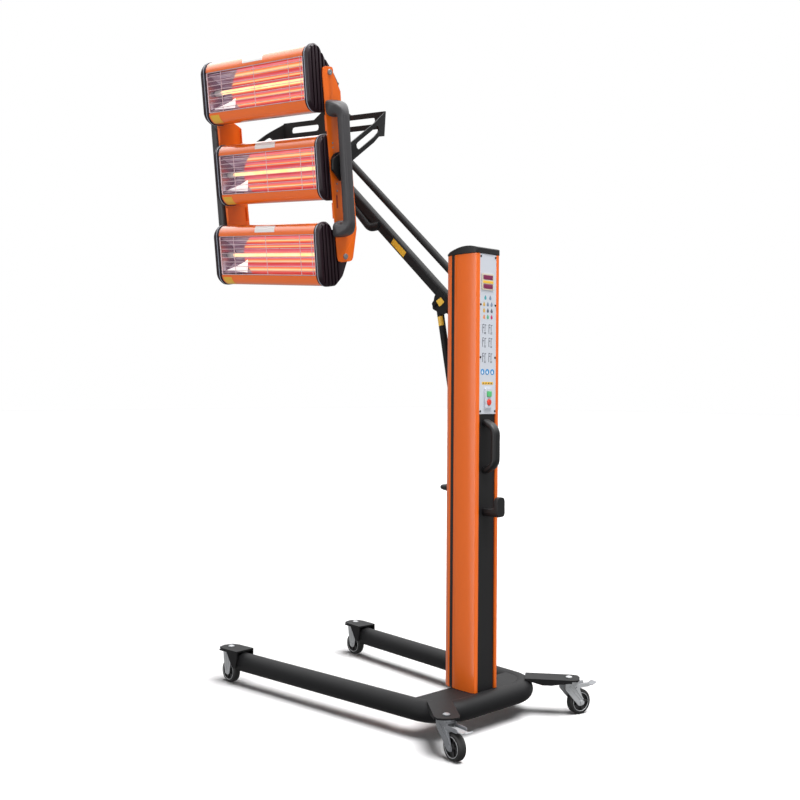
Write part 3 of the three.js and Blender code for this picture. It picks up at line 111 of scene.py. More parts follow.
# Local frames of the sub-parts, from the joints
ACROSS = np.array([1.0, 0.0, 0.0])
UP = np.array([0.0, 0.0, 1.0])
HEAD_TILT = math.radians(9.6)
stand = Place((pivot("rear_left_swivel") + pivot("rear_right_swivel")) / 2, ACROSS, UP)
arm_line = pivot("knuckle_level") - pivot("arm_lift")
arm_place = Place(pivot("arm_lift"), ACROSS, np.cross(ACROSS, arm_line))
tie_place = Place(pivot("tie_swing"), ACROSS, np.cross(ACROSS, arm_line))
strut_place = Place(pivot("strut_swing"), ACROSS, np.cross(ACROSS, axis("strut_stroke")))
yoke_place = Place(pivot("head_swivel"), axis("head_tilt"), axis("head_swivel"))
head_up = math.sin(HEAD_TILT) * yoke_place.axes[1] + math.cos(HEAD_TILT) * yoke_place.axes[2]
head_place = Place(pivot("head_tilt"), yoke_place.axes[0], head_up)
ARM_LENGTH = np.linalg.norm(arm_line) / MM
tilt_z = (pivot("head_tilt") - pivot("head_swivel")) @ yoke_place.axes[2] / MM
SIDES = ((-1, "right"), (1, "left"))


# Outlines and paths, as arrays of points
def rounded(corners, steps=8):
    """Outline through corners (a, b, radius): each corner is the arc that touches both of its edges."""
    places = np.array([corner[:2] for corner in corners], float)
    found = []
    for index, corner in enumerate(corners):
        here = places[index]
        radius = corner[2] if len(corner) > 2 else 0
        if radius == 0:
            found.append(here[None])
            continue
        back, ahead = places[index - 1] - here, places[(index + 1) % len(corners)] - here
        half = math.acos(np.clip(unit(back) @ unit(ahead), -1, 1)) / 2
        reach = min(radius / math.tan(half), 0.999 * np.linalg.norm(back), 0.999 * np.linalg.norm(ahead))
        centre = here + unit(unit(back) + unit(ahead)) * reach / math.cos(half)
        start, end = here + unit(back) * reach - centre, here + unit(ahead) * reach - centre
        turn = math.atan2(start[0] * end[1] - start[1] * end[0], start @ end)
        angles = math.atan2(start[1], start[0]) + turn * np.linspace(0, 1, steps + 1)
        found.append(centre + np.linalg.norm(start) * around(angles))
    return np.concatenate(found)


def around(angles):
    """Points of the unit circle at the angles."""
    return np.stack([np.cos(angles), np.sin(angles)], 1)


def box(width, height, radius=0.0, a=0.0, b=0.0, steps=6):
    """Rounded rectangle outline about the point (a, b)."""
    w, h = width / 2, height / 2
    return rounded([(a + x, b + y, radius) for x, y in ((-w, -h), (w, -h), (w, h), (-w, h))], steps)


def circle(radius, sides=32, a=0.0, b=0.0):
    """Circle of points about (a, b)."""
    angles = 2 * math.pi * (np.arange(sides) + 0.5) / sides
    return (a, b) + radius * around(angles)


def inset(outline, amount):
    """Outline moved inwards by an amount: each point goes along the mitre of its two edges."""
    ahead = np.roll(outline, -1, 0) - outline
    area = (outline[:, 0] * np.roll(outline[:, 1], -1) - outline[:, 1] * np.roll(outline[:, 0], -1)).sum()
    length = np.maximum(np.linalg.norm(ahead, axis=1, keepdims=True), 1e-9)
    normal = np.stack([-ahead[:, 1], ahead[:, 0]], 1) / length * math.copysign(1, area)
    before = np.roll(normal, 1, 0)
    mitre = np.maximum(1 + (normal * before).sum(1, keepdims=True), 0.2)
    return outline + (normal + before) * amount / mitre


def squircle(half_side, half_across, power, sides=28):
    """Rounded box section: |side|^power + |across|^power is constant, in units of the half sizes."""
    angles = 2 * math.pi * (np.arange(sides) + 0.5) / sides
    cosine, sine = np.cos(angles), np.sin(angles)
    return np.stack([half_side * np.sign(cosine) * abs(cosine) ** (2 / power),
                     half_across * np.sign(sine) * abs(sine) ** (2 / power)], 1)


def route(corners, steps=12):
    """Flat path through corners (a, b, bend radius): points and headings, each bend an arc."""
    places = [np.array(corner[:2], float) for corner in corners]
    points, headings = [places[0]], [unit(places[1] - places[0])]
    for index in range(1, len(corners) - 1):
        into, out = unit(places[index] - places[index - 1]), unit(places[index + 1] - places[index])
        turn = math.atan2(into[0] * out[1] - into[1] * out[0], into @ out)
        radius, side = corners[index][2], math.copysign(1, turn)
        centre = places[index] - into * radius * math.tan(abs(turn) / 2)
        centre = centre + np.array([-into[1], into[0]]) * radius * side
        for share in np.linspace(0, 1, steps + 1):
            c, s = math.cos(turn * share), math.sin(turn * share)
            heading = np.array([into[0] * c - into[1] * s, into[0] * s + into[1] * c])
            points.append(centre + np.array([heading[1], -heading[0]]) * radius * side)
            headings.append(heading)
    points.append(places[-1])
    headings.append(unit(places[-1] - places[-2]))
    return np.array(points), np.array(headings)


def spread(direction, a, b, along):
    """Points of a plane figure (a, b) at a place along an axis: x figures lie in yz, y in xz, z in xy."""
    a, b, along = np.broadcast_arrays(a, b, along)
    order = {"x": (along, a, b), "y": (a, along, b), "z": (a, b, along)}[direction]
    return np.stack(order, -1)


# Skins: each gives its points in metres and its faces
def signed_volume(points, faces):
    """Sum over the faces' fans of the corner's triple product, positive where faces point outwards."""
    fans = np.array([(f[0], f[k], f[k + 1]) for f in faces for k in range(1, len(f) - 1)])
    a, b, c = points[fans[:, 0]], points[fans[:, 1]], points[fans[:, 2]]
    return float(np.einsum("ij,ij->i", a, np.cross(b, c)).sum())


def skin(place, rings, joined=False):
    """Closed skin over rings[ring, point, xyz]: quads between rings, and a flat face on each end."""
    rings = np.asarray(rings, float)
    number, count = rings.shape[:2]
    ring = np.arange(number if joined else number - 1)[:, None] * count
    point = np.arange(count)[None, :]
    following = (point + 1) % count
    upper = (ring + count) % (number * count)
    quads = np.stack([ring + point, ring + following, upper + following, upper + point], -1).reshape(-1, 4)
    faces = quads.tolist()
    if not joined:
        faces.append(list(range(count))[::-1])
        faces.append(list(range((number - 1) * count, number * count)))
    points = place(rings.reshape(-1, 3))
    if signed_volume(points - points.mean(0), faces) < 0:
        faces = [face[::-1] for face in faces]
    return points, faces


def layers(direction, rings):
    """Rings in space from pairs of an outline and its place along an axis."""
    return [spread(direction, *np.transpose(outline), along) for outline, along in rings]


def extrude(place, direction, outline, stations):
    """Outline carried straight through its stations along an axis."""
    return skin(place, layers(direction, [(outline, along) for along in stations]))


def plate(place, direction, outline, start, end, edge=0.0, steps=3):
    """Outline thickened from start to end, its rims rounded by quarter circles of the edge radius."""
    angles = np.linspace(0, math.pi / 2, steps + 1) if edge else np.array([0.0])
    depths, insets = edge * (1 - np.cos(angles)), edge * (1 - np.sin(angles))
    along = np.concatenate([start + depths, end - depths[::-1]])
    outlines = [inset(outline, amount) for amount in (*insets, *insets[::-1])]
    return skin(place, layers(direction, zip(outlines, along)))


def lathe(place, direction, profile, sides=48, joined=False, flip=1):
    """Profile of (radius, place along the axis) turned about that axis; a flip of -1 mirrors it."""
    ring = around(2 * math.pi * np.arange(sides) / sides)
    return skin(place, layers(direction, [(r * ring, flip * along) for r, along in profile]), joined)


def boss(place, bore, radius, half, sides):
    """Ring about the x axis with its two outer rims cut back by a millimetre."""
    profile = [(bore, -half), (radius - 1, -half), (radius, 1 - half)]
    profile += [(across, -along) for across, along in profile[::-1]]
    return lathe(place, "x", profile, sides, joined=True)


def sweep(place, path, lift, section):
    """Section(share) of (side, across) carried along a flat path; lift puts (a, b, across) into xyz."""
    points, headings = path
    rings = []
    for index, (point, heading) in enumerate(zip(points, headings)):
        side, across = section(index / (len(points) - 1)).T
        a, b = point[0] - heading[1] * side, point[1] + heading[0] * side
        rings.append(lift(a, b, across))
    return skin(place, rings)


def gather(*skins):
    """Several skins as one."""
    points, faces, first = [], [], 0
    for some_points, some_faces in skins:
        points.append(some_points)
        faces.extend([[index + first for index in face] for face in some_faces])
        first += len(some_points)
    return np.concatenate(points), faces


# Pieces
def smooth(mesh, crease):
    """Smooth shading, with edges sharper than the crease angle kept sharp."""
    mesh.polygons.foreach_set("use_smooth", np.ones(len(mesh.polygons), bool))
    mesh.set_sharp_from_angle(angle=math.radians(crease))


def settle(name, mesh, body, material, replaces=()):
    """A piece with its finish, its body and the nodes that it stands for."""
    piece = bpy.data.objects.new(name, mesh)
    bpy.context.scene.collection.objects.link(piece)
    mesh.materials.clear()
    mesh.materials.append(material)
    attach(piece, body)
    if replaces:
        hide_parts(*replaces)
    return piece


def add(name, skin_of, body, material, replaces=(), crease=38, uv=None):
    """A piece from a skin; one whose name ends in _skin stands for the node named before that."""
    points, faces = skin_of
    mesh = bpy.data.meshes.new(name)
    mesh.from_pydata(points.tolist(), [], faces)
    if uv is not None:
        corners = np.zeros(len(mesh.loops), int)
        mesh.loops.foreach_get("vertex_index", corners)
        mesh.uv_layers.new(name="sheet").data.foreach_set("uv", np.asarray(uv, float)[corners].ravel())
    mesh.update()
    smooth(mesh, crease)
    if name.endswith("_skin") and not replaces:
        replaces = (name.removesuffix("_skin"),)
    settle(name, mesh, body, material, replaces)


def dress(part, material, edge=0.8, crease=38, segments=2):
    """A merged copy of a node's solid with flat faces made whole and rounded edges, in its place."""
    solid = frame["nodes"][part]
    body = next(name for name, empty in frame["bodies"].items() if empty == solid.parent)
    mesh = solid.data.copy()
    mesh.name = f"{part}_skin"
    shape = bmesh.new()
    shape.from_mesh(mesh)
    bmesh.ops.remove_doubles(shape, verts=shape.verts, dist=2e-6)
    flat = math.radians(1.5)
    bmesh.ops.dissolve_limit(shape, angle_limit=flat, verts=shape.verts, edges=shape.edges)
    shape.to_mesh(mesh)
    shape.free()
    smooth(mesh, crease)
    piece = settle(f"{part}_skin", mesh, body, material, (part,))
    bevel = piece.modifiers.new("rounded_edges", "BEVEL")
    bevel.width = edge * MM
    bevel.segments = segments
    bevel.limit_method = "ANGLE"
    bevel.angle_limit = math.radians(crease)
    bevel.use_clamp_overlap = True
    bevel.harden_normals = False


# Node groups shared by the finishes
def srgb(red, green, blue):
    """Screen colour from 0 to 255 as linear light: the channel over 255, to the power 2.2."""
    return tuple((channel / 255) ** 2.2 for channel in (red, green, blue))


def group(name, inputs, output, kind):
    """A shader node group: its tree, the sockets of its inputs and the socket of its one output."""
    tree = bpy.data.node_groups.new(name, "ShaderNodeTree")
    for label, default in inputs.items():
        sort = "Float" if isinstance(default, float) else "Color" if len(default) == 4 else "Vector"
        socket = tree.interface.new_socket(label, in_out="INPUT", socket_type=f"NodeSocket{sort}")
        socket.default_value = default
    tree.interface.new_socket(output, in_out="OUTPUT", socket_type=kind)
    return tree, tree.nodes.new("NodeGroupInput").outputs, tree.nodes.new("NodeGroupOutput").inputs[output]


def node(tree, kind, sockets=(), **settings):
    """A node with its settings; each of its sockets takes a plain value or a link."""
    made = tree.nodes.new(kind)
    for label, value in settings.items():
        setattr(made, label, value)
    for key, value in dict(sockets).items():
        if isinstance(value, bpy.types.NodeSocket):
            tree.links.new(value, made.inputs[key])
        else:
            made.inputs[key].default_value = value
    return made


def maths(tree, operation, *values, clamp=False):
    """Result of a sum on numbers or sockets."""
    sockets = dict(enumerate(values))
    return node(tree, "ShaderNodeMath", sockets, operation=operation, use_clamp=clamp).outputs[0]


def times(tree, first, second):
    """Product of two vectors, channel by channel."""
    return node(tree, "ShaderNodeVectorMath", {0: first, 1: second}, operation="MULTIPLY").outputs[0]


def scaled(tree, vector, amount):
    """Vector or colour times a number."""
    return node(tree, "ShaderNodeVectorMath", {0: vector, "Scale": amount}, operation="SCALE").outputs[0]


def mix(tree, factor, first, second):
    """The first colour where the factor is 0, the second where it is 1."""
    return node(tree, "ShaderNodeMix", {"Factor": factor, 6: first, 7: second}, data_type="RGBA").outputs[2]


def noise(tree, vector, scale, detail=4.0, roughness=0.55):
    """Noise value at a place."""
    sockets = {"Vector": vector, "Scale": scale, "Detail": detail, "Roughness": roughness}
    return node(tree, "ShaderNodeTexNoise", sockets).outputs["Fac"]


def object_place(tree):
    """Object coordinates."""
    return node(tree, "ShaderNodeTexCoord").outputs["Object"]


def tone_group():
    """Colour times 1 + amount (2 noise - 1), and a film of dust on faces that look up."""
    tree, given, out = group("tone_and_dust", {
        "Colour": (0.5, 0.5, 0.5, 1), "Drift": 0.06, "Scale": 6.0, "Dust": 0.05,
        "Dust Colour": (0.6, 0.57, 0.52, 1)}, "Colour", "NodeSocketColor")
    cloud = noise(tree, object_place(tree), given["Scale"])
    factor = maths(tree, "MULTIPLY_ADD", maths(tree, "MULTIPLY_ADD", cloud, 2.0, -1.0), given["Drift"], 1.0)
    normal = node(tree, "ShaderNodeNewGeometry").outputs["Normal"]
    height = node(tree, "ShaderNodeSeparateXYZ", {"Vector": normal}).outputs["Z"]
    upward = maths(tree, "MULTIPLY", height, cloud, clamp=True)
    film = maths(tree, "MULTIPLY", upward, given["Dust"], clamp=True)
    tree.links.new(mix(tree, film, scaled(tree, given["Colour"], factor), given["Dust Colour"]), out)
    return tree


def gloss_group():
    """Roughness plus spread times (2 noise - 1), the smudges and rubbed spots of a handled surface."""
    tree, given, out = group("smudged_gloss", {"Roughness": 0.4, "Spread": 0.08, "Scale": 14.0},
                             "Roughness", "NodeSocketFloat")
    cloud = noise(tree, object_place(tree), given["Scale"], 6.0, 0.65)
    swing = maths(tree, "MULTIPLY_ADD", cloud, 2.0, -1.0)
    tree.links.new(maths(tree, "MULTIPLY_ADD", swing, given["Spread"], given["Roughness"], clamp=True), out)
    return tree


def grain_group():
    """Bump from noise stretched along one axis: even for powder coat, long for brushing."""
    tree, given, out = group("surface_grain", {
        "Scale": 400.0, "Stretch": (1, 1, 1), "Strength": 0.1, "Depth": 0.0004}, "Normal", "NodeSocketVector")
    cloud = noise(tree, times(tree, object_place(tree), given["Stretch"]), given["Scale"], 3.0)
    bump = node(tree, "ShaderNodeBump", {
        "Height": cloud, "Strength": given["Strength"], "Distance": given["Depth"]})
    tree.links.new(bump.outputs["Normal"], out)
    return tree


TONE, GLOSS, GRAIN = tone_group(), gloss_group(), grain_group()


def bare(name, slot, plain):
    """A new material, its tree and its shader with plain values set on the sockets."""
    material = bpy.data.materials.new(name)
    material.use_nodes = True
    material["slot"] = slot
    shader = material.node_tree.nodes["Principled BSDF"]
    for label, value in plain.items():
        shader.inputs[label.replace("_", " ")].default_value = value
    return material, material.node_tree, shader


def finish(name, slot, colour, roughness, drift=0.05, dust=0.0, grain=(350, 0.08), stretch=(1, 1, 1),
           smudge=0.07, drift_scale=6.0, **plain):
    """A painted, moulded or metal surface: drifting tone, dust, smudged gloss and a fine grain."""
    material, tree, shader = bare(name, slot, plain)
    tint = {"Colour": (*srgb(*colour), 1), "Drift": drift, "Scale": drift_scale, "Dust": dust}
    for socket, kind, values in (
            ("Base Color", TONE, tint),
            ("Roughness", GLOSS, {"Roughness": roughness, "Spread": smudge}),
            ("Normal", GRAIN, {"Scale": grain[0], "Stretch": stretch, "Strength": grain[1]})):
        placed = node(tree, "ShaderNodeGroup", values, node_tree=kind)
        tree.links.new(placed.outputs[0], shader.inputs[socket])
    return material


# Finishes: name, slot, screen colour and roughness
orange = finish("orange_coat", "orange", (238, 106, 24), 0.32, drift=0.03, grain=(260, 0.02),
                Coat_Weight=0.3, Coat_Roughness=0.16, Specular_IOR_Level=0.35)
glossy_orange = finish("housing_coat", "orange", (238, 106, 26), 0.3, drift=0.02, grain=(260, 0.01),
                       Coat_Weight=1.0, Coat_Roughness=0.14, Specular_IOR_Level=0.4)
black = finish("black_coat", "black", (28, 28, 29), 0.54, drift=0.12, grain=(300, 0.03),
               Specular_IOR_Level=0.15)
moulded = finish("moulded_plastic", "plastic", (30, 30, 31), 0.42, drift=0.1, grain=(500, 0.03),
                 Specular_IOR_Level=0.3)
grip = finish("grip_plastic", "plastic", (70, 69, 71), 0.45, drift=0.08, grain=(500, 0.03),
              Specular_IOR_Level=0.3)
ribbed = finish("cap_plastic", "plastic", (36, 22, 30), 0.36, drift=0.12, grain=(600, 0.04),
                Specular_IOR_Level=0.25)
zinc = finish("zinc_plate", "zinc", (178, 180, 182), 0.4, drift=0.1, grain=(180, 0.06), drift_scale=30.0,
              Metallic=0.3)
steel = finish("dark_steel", "zinc", (132, 134, 138), 0.42, drift=0.12, dust=0.05, grain=(200, 0.05),
               Metallic=0.3)
tyre = finish("tyre_rubber", "rubber", (18, 18, 18), 0.62, drift=0.15, dust=0.03, grain=(500, 0.2))
wheel_centre = finish("wheel_plastic", "rubber", (30, 30, 31), 0.45, drift=0.1, dust=0.03, grain=(500, 0.1))
silver = finish("panel_foil", "silver", (208, 213, 222), 0.4, drift=0.02, grain=(900, 0.05),
                stretch=(1, 1, 0.03), Metallic=0.1)
bezel = finish("display_bezel", "plastic", (206, 196, 178), 0.4, drift=0.03)
window = finish("display_glass", "plastic", (128, 46, 84), 0.12, drift=0.06, smudge=0.02)
start_green = finish("start_green", "green", (92, 190, 120), 0.3)
stop_red = finish("stop_red", "red", (222, 62, 44), 0.3)
# Guard wire: pale metal, its pink tint painted glow from the cassettes
wire = finish("guard_wire", "wire", (204, 180, 188), 0.3, grain=(300, 0.02), Metallic=0.5)
# Cap rim: partly the real grey plastic, painted lighter and bluer for its highlight
rim_plastic = finish("cap_rim", "plastic", (150, 156, 170), 0.3, drift=0.08, grain=(600, 0.08))
mirror = finish("end_plate", "reflector", (178, 168, 182), 0.25, drift=0.1, grain=(200, 0.02), Metallic=0.9)
ceramic = finish("ceramic_end", "glow", (196, 190, 188), 0.6, drift=0.06)
# Painted glint: white with light of its own, standing in for a reflection on the trough
glint = finish("bright_foil", "reflector", (250, 250, 252), 0.2, drift=0.02, grain=(300, 0.02),
               Emission_Color=(1, 1, 1, 1), Emission_Strength=0.6)
# Painted shade: darker orange for the inside of the rails' slots
painted_slot_shade = finish("slot_shade", "orange", (150, 56, 16), 0.5)
white_label = finish("blank_label", "orange", (232, 230, 229), 0.35, drift=0.03, grain=(300, 0.03))
ochre_label = finish("ochre_label", "orange", (214, 166, 52), 0.4, grain=(300, 0.03))
yellow = finish("yellow_foil", "silver", (240, 190, 70), 0.4, drift=0.03)
INKS = {"teal": (70, 160, 170), "ochre": (214, 168, 84), "slate": (120, 136, 158), "magenta": (186, 52, 104),
        "grey": (96, 100, 110), "blue": (50, 138, 200), "dark": (60, 62, 66), "leaf": (84, 170, 128),
        "pale": (232, 240, 246), "coral": (224, 140, 96)}
ink = {name: finish(f"ink_{name}", "silver", colour, 0.45, drift=0.04) for name, colour in INKS.items()}


def ramp(tree, value, stops):
    """Colour ramp with stops (place, linear colour)."""
    made = node(tree, "ShaderNodeValToRGB", {"Fac": value})
    elements = made.color_ramp.elements
    for index, (place, colour) in enumerate(stops):
        element = elements[index] if index < 2 else elements.new(place)
        element.position = place
        element.color = (*colour, 1)
    return made.outputs["Color"]


def greys(*stops):
    """Ramp stops (place, level) as greys."""
    return [(place, (level,) * 3) for place, level in stops]


# Painted reflections of the tube, as bright lines on the trough: share of the height and half width
PAINTED_TUBE_REFLECTIONS = ((0.09, 0.034), (0.3, 0.032), (0.5, 0.03), (0.72, 0.022), (0.9, 0.036))
# Where the trough's cold end starts, as a share of the length, and how much sooner at its rims
COLD_END, COLD_CURVE = 0.915, 0.24
# Painted glow streaks over the hot part, how much of them shows, and painted self-lit grey streaks over the
# cold end
PAINTED_GLOW_STREAKS = ((0.36, srgb(150, 20, 44)), (0.47, srgb(214, 70, 92)), (0.56, srgb(236, 158, 164)),
         (0.66, srgb(250, 214, 214)))
PAINTED_STREAK_SHARE = 0.14
COLD = ((0.4, srgb(70, 44, 58)), (0.5, srgb(120, 98, 114)), (0.6, srgb(172, 160, 172)))


def painted_glow_finish():
    """Trough painted with light in its emission: painted reflections of the tube as bright lines, painted
    pink and crimson glow between, and a painted self-lit grey cold end.
    """
    material, tree, shader = bare("glowing_reflector", "reflector", {
        "Base Color": (*srgb(70, 30, 36), 1), "Metallic": 0.0, "Roughness": 0.35, "Emission Strength": 1.0})
    sheet = node(tree, "ShaderNodeUVMap", uv_map="sheet").outputs["UV"]
    length, height, _ = node(tree, "ShaderNodeSeparateXYZ", {"Vector": sheet}).outputs
    crimson, pink = srgb(190, 22, 42), srgb(224, 108, 126)
    amber, line = srgb(255, 122, 36), srgb(255, 238, 172)
    stops = [(0.0, crimson)]
    for middle, half in PAINTED_TUBE_REFLECTIONS:
        stops += [(middle - 2.0 * half, crimson), (middle - half, amber), (middle, line),
                  (middle + half, amber), (middle + 2.4 * half, pink)]
    streaks = noise(tree, times(tree, sheet, (3.0, 34.0, 1.0)), 1.0, 6.0, 0.75)
    hot = mix(tree, PAINTED_STREAK_SHARE, ramp(tree, height, stops), ramp(tree, streaks, PAINTED_GLOW_STREAKS))
    off_middle = maths(tree, "MULTIPLY_ADD", height, 2.0, -1.0)
    along = maths(tree, "MULTIPLY_ADD", maths(tree, "MULTIPLY", off_middle, off_middle), COLD_CURVE, length)
    ends = ramp(tree, along, greys((0.0, 0), (COLD_END - 0.01, 0), (COLD_END + 0.01, 1)))
    tree.links.new(mix(tree, ends, hot, ramp(tree, streaks, COLD)), shader.inputs["Emission Color"])
    return material


def glow_finish():
    """Hot quartz tube: orange-yellow light with a soft drift along it."""
    material, tree, shader = bare("hot_tube", "glow", {
        "Base Color": (*srgb(255, 190, 120), 1), "Roughness": 0.2, "Emission Strength": 1.0})
    cloud = noise(tree, object_place(tree), 18.0, 3.0, 0.5)
    light = ramp(tree, cloud, [(0.3, srgb(255, 204, 128)), (0.6, srgb(255, 230, 182))])
    tree.links.new(light, shader.inputs["Emission Color"])
    return material


# Painted glow of the trough, and the light of the tube itself
painted_trough_glow, glow = painted_glow_finish(), glow_finish()

# Base frame sizes
TUBE_RADIUS, TUBE_HEIGHT, TUBE_REAR, TUBE_FRONT, TUBE_BEND, TUBE_LIP = 30, 76, 78, 905, 95, 1.2
LEG_START, LEG_END = (201, 120), (268, 957)


def leg_x(y):
    """Half width of the base at a place along the legs."""
    return LEG_START[0] + (LEG_END[0] - LEG_START[0]) * (y - LEG_START[1]) / (LEG_END[1] - LEG_START[1])


def base():
    """Bent tube with the pressed brackets and outriggers that carry the casters."""
    wide, rear = leg_x(TUBE_FRONT), leg_x(TUBE_REAR)
    points, headings = route([(-wide, TUBE_FRONT, 0), (-rear, TUBE_REAR, TUBE_BEND),
                              (rear, TUBE_REAR, TUBE_BEND), (wide, TUBE_FRONT, 0)], 20)
    starts, ends = points[0] + headings[0] * TUBE_LIP, points[-1] - headings[-1] * TUBE_LIP
    points = np.concatenate([points[:1], [starts], points[1:-1], [ends], points[-1:]])
    headings = np.concatenate([headings[:1], headings, headings[-1:]])
    ring = circle(TUBE_RADIUS, 40)
    pipe = sweep(stand, (points, headings), lambda a, b, across: spread("z", a, b, TUBE_HEIGHT + across),
                 lambda share: ring * (1 - TUBE_LIP / TUBE_RADIUS if share in (0, 1) else 1))
    add("base_tube_skin", pipe, "root", black, crease=50)
    dress("base_plate", black)
    for side in ("left", "right"):
        dress(f"outrigger_{side}", black, 1.2)
        dress(f"leg_bracket_{side}", black, 1.0)


# Wheel sizes
WHEEL_RADIUS, WHEEL_HALF, WHEEL_SHOULDER, RIM_RADIUS, RIM_EDGE = 36.75, 12, 6.5, 26.5, 0.8
HUB_RADIUS, AXLE_BORE, WEB_HALF, SPOKES, SPOKE_WIDE, RIM_HIGHLIGHT_RADIUS = 11, 4.6, 5.5, 5, 6.5, 0.75


def wheel(name):
    """Tyre with a rounded tread, a spoked centre, and where they meet a bright zinc ring that paints the
    rim's highlight.
    """
    place = Place(pivot(f"{name}_roll"), axis(f"{name}_roll"), UP)
    body = f"{name}_wheel"
    corners = [(RIM_RADIUS, -WHEEL_HALF, RIM_EDGE), (WHEEL_RADIUS, -WHEEL_HALF, WHEEL_SHOULDER),
               (WHEEL_RADIUS, WHEEL_HALF, WHEEL_SHOULDER), (RIM_RADIUS, WHEEL_HALF, RIM_EDGE)]
    add(f"{name}_tyre", lathe(place, "x", rounded(corners, 7), 56, joined=True), body, tyre, (body,))
    profile = [(AXLE_BORE, -WHEEL_HALF), (HUB_RADIUS - 1, -WHEEL_HALF), (HUB_RADIUS, -WHEEL_HALF + 1),
               (HUB_RADIUS + 0.5, -WEB_HALF), (RIM_RADIUS - 2.5, -WEB_HALF),
               (RIM_RADIUS - 1.5, -WHEEL_HALF + RIM_EDGE), (RIM_RADIUS, -WHEEL_HALF + RIM_EDGE)]
    profile += [(radius, -along) for radius, along in profile[::-1]]
    centre = [lathe(place, "x", profile, 48, joined=True)]
    for index in range(SPOKES):
        turn = 2 * math.pi * index / SPOKES
        c, s = math.cos(turn), math.sin(turn)
        spoke = box(RIM_RADIUS - HUB_RADIUS, SPOKE_WIDE, 1.0, (RIM_RADIUS + HUB_RADIUS) / 2 - 0.5)
        turned = np.stack([spoke[:, 0] * c - spoke[:, 1] * s, spoke[:, 0] * s + spoke[:, 1] * c], 1)
        centre.append(plate(place, "x", turned, -WHEEL_HALF + 2, WHEEL_HALF - 2, RIM_EDGE))
    add(f"{name}_centre", gather(*centre), body, wheel_centre)
    # Painted highlight: a bright ring round each edge of the rim
    line = circle(RIM_HIGHLIGHT_RADIUS, 8)
    rings = [lathe(place, "x", [(RIM_RADIUS + a, side * WHEEL_HALF + b) for a, b in line], 48, joined=True)
             for side, _ in SIDES]
    add(f"{name}_painted_rim_highlight", gather(*rings), body, zinc)


def casters():
    """Wheels, pressed forks and the brake pedals of the rear pair."""
    for name in ("front_left", "front_right", "rear_left", "rear_right"):
        wheel(name)
        dress(f"{name}_fork", zinc if name != "rear_left" else steel, 0.6)
    pedal("rear_left", zinc)
    pedal("rear_right", steel)


# Pedal sizes, and the pips on it: distance between rows, first place, step and number in a row
PEDAL_HALF, PEDAL_SHEET, PEDAL_REACH, PEDAL_RISE, PEDAL_DROP, PEDAL_TIP = 12, 3, 78, 6, 9, 12
PIN_RADIUS, PIN_HALF = 2.5, 16.7
PIP_ROW, PIP_FIRST, PIP_STEP, PIP_COUNT = 6.5, 12, 7, 7


def pedal(name, material):
    """Pressed pedal strip with rows of raised pips and a tip turned up."""
    place = Place(pivot(f"{name}_brake"), axis(f"{name}_roll"), UP)
    bend = (PEDAL_REACH - PEDAL_TIP, 0, PEDAL_TIP)
    path = route([(-PEDAL_DROP, 0, 0), bend, (PEDAL_REACH, PEDAL_RISE, 0)], 8)
    section = box(PEDAL_SHEET, 2 * PEDAL_HALF, 0.9)
    strip = sweep(place, path, lambda a, b, across: spread("x", a, b, across), lambda share: section)
    pin = lathe(place, "x", [(PIN_RADIUS, -PIN_HALF), (PIN_RADIUS, PIN_HALF)], 20)
    top = PEDAL_SHEET / 2
    pip = [(1.9, top - 0.3), (1.7, top + 0.5), (1.0, top + 0.9)]
    pips = [lathe(place.moved(row * PIP_ROW, PIP_FIRST + step * PIP_STEP), "z", pip, 10)
            for row in (-1, 0, 1) for step in range(PIP_COUNT)]
    add(f"{name}_pedal_skin", gather(strip, pin, *pips), f"{name}_pedal", material,
        (f"{name}_brake_pedal",))


# Column sizes; the groove's fill and the strips are outlines of the right half seen from above
COLUMN_TOP, FOOT_Z = 1336, 102.3
SIDE_WIDE, SIDE_NARROWING, SIDE_START, SIDE_RUN = 51.5, 8.5, 157, 63
GROOVE_FILL = ((45.6, 176.1), (48.66, 176.1), (48.08, 182), (47.56, 185.9), (45.6, 185.9))
STRIP_Y, STRIP_PROUD = (179.5, 192), 0.5
GLAND_PLACE = (0, 220.3, 666)
GLAND = ((4.5, 0), (14.2, 0), (14.2, 7.5), (13.4, 8.7), (10.5, 10.2), (10.5, 30), (9.8, 32), (8.4, 44),
         (6.4, 51), (5.5, 52), (4.5, 52))


def side_x(y):
    """Half width of the column's front part, where its sides run straight in to the front."""
    return SIDE_WIDE - SIDE_NARROWING * (y - SIDE_START) / SIDE_RUN


def column():
    """Extruded profile with dark insert strips in its side grooves, under a moulded cap."""
    dress("column_profile", orange, 0.6, crease=32)
    dress("column_cap", moulded, 1.2)
    low, high = FOOT_Z + 0.4, COLUMN_TOP - 0.5
    near, far = STRIP_Y
    fillers, strips = [], []
    for side, _ in SIDES:
        fillers.append(plate(stand, "z", np.array(GROOVE_FILL) * (side, 1), low, high))
        strip = [(side * (side_x(near) - 1), near), (side * (side_x(near) + STRIP_PROUD), near, 0.5),
                 (side * (side_x(far) + STRIP_PROUD), far, 0.5), (side * (side_x(far) - 1), far)]
        strips.append(plate(stand, "z", rounded(strip, 3), low, high))
    add("groove_fillers", gather(*fillers), "root", orange)
    add("side_strips", gather(*strips), "root", moulded)
    dress("inner_frame", steel, 0.5)
    dress("rear_cover", moulded, 0.6)
    dress("cable_hook", moulded, 1.4, segments=3)
    gland = lathe(stand.moved(*GLAND_PLACE), "y", GLAND, 32, joined=True)
    add("cord_gland_skin", gland, "root", moulded)


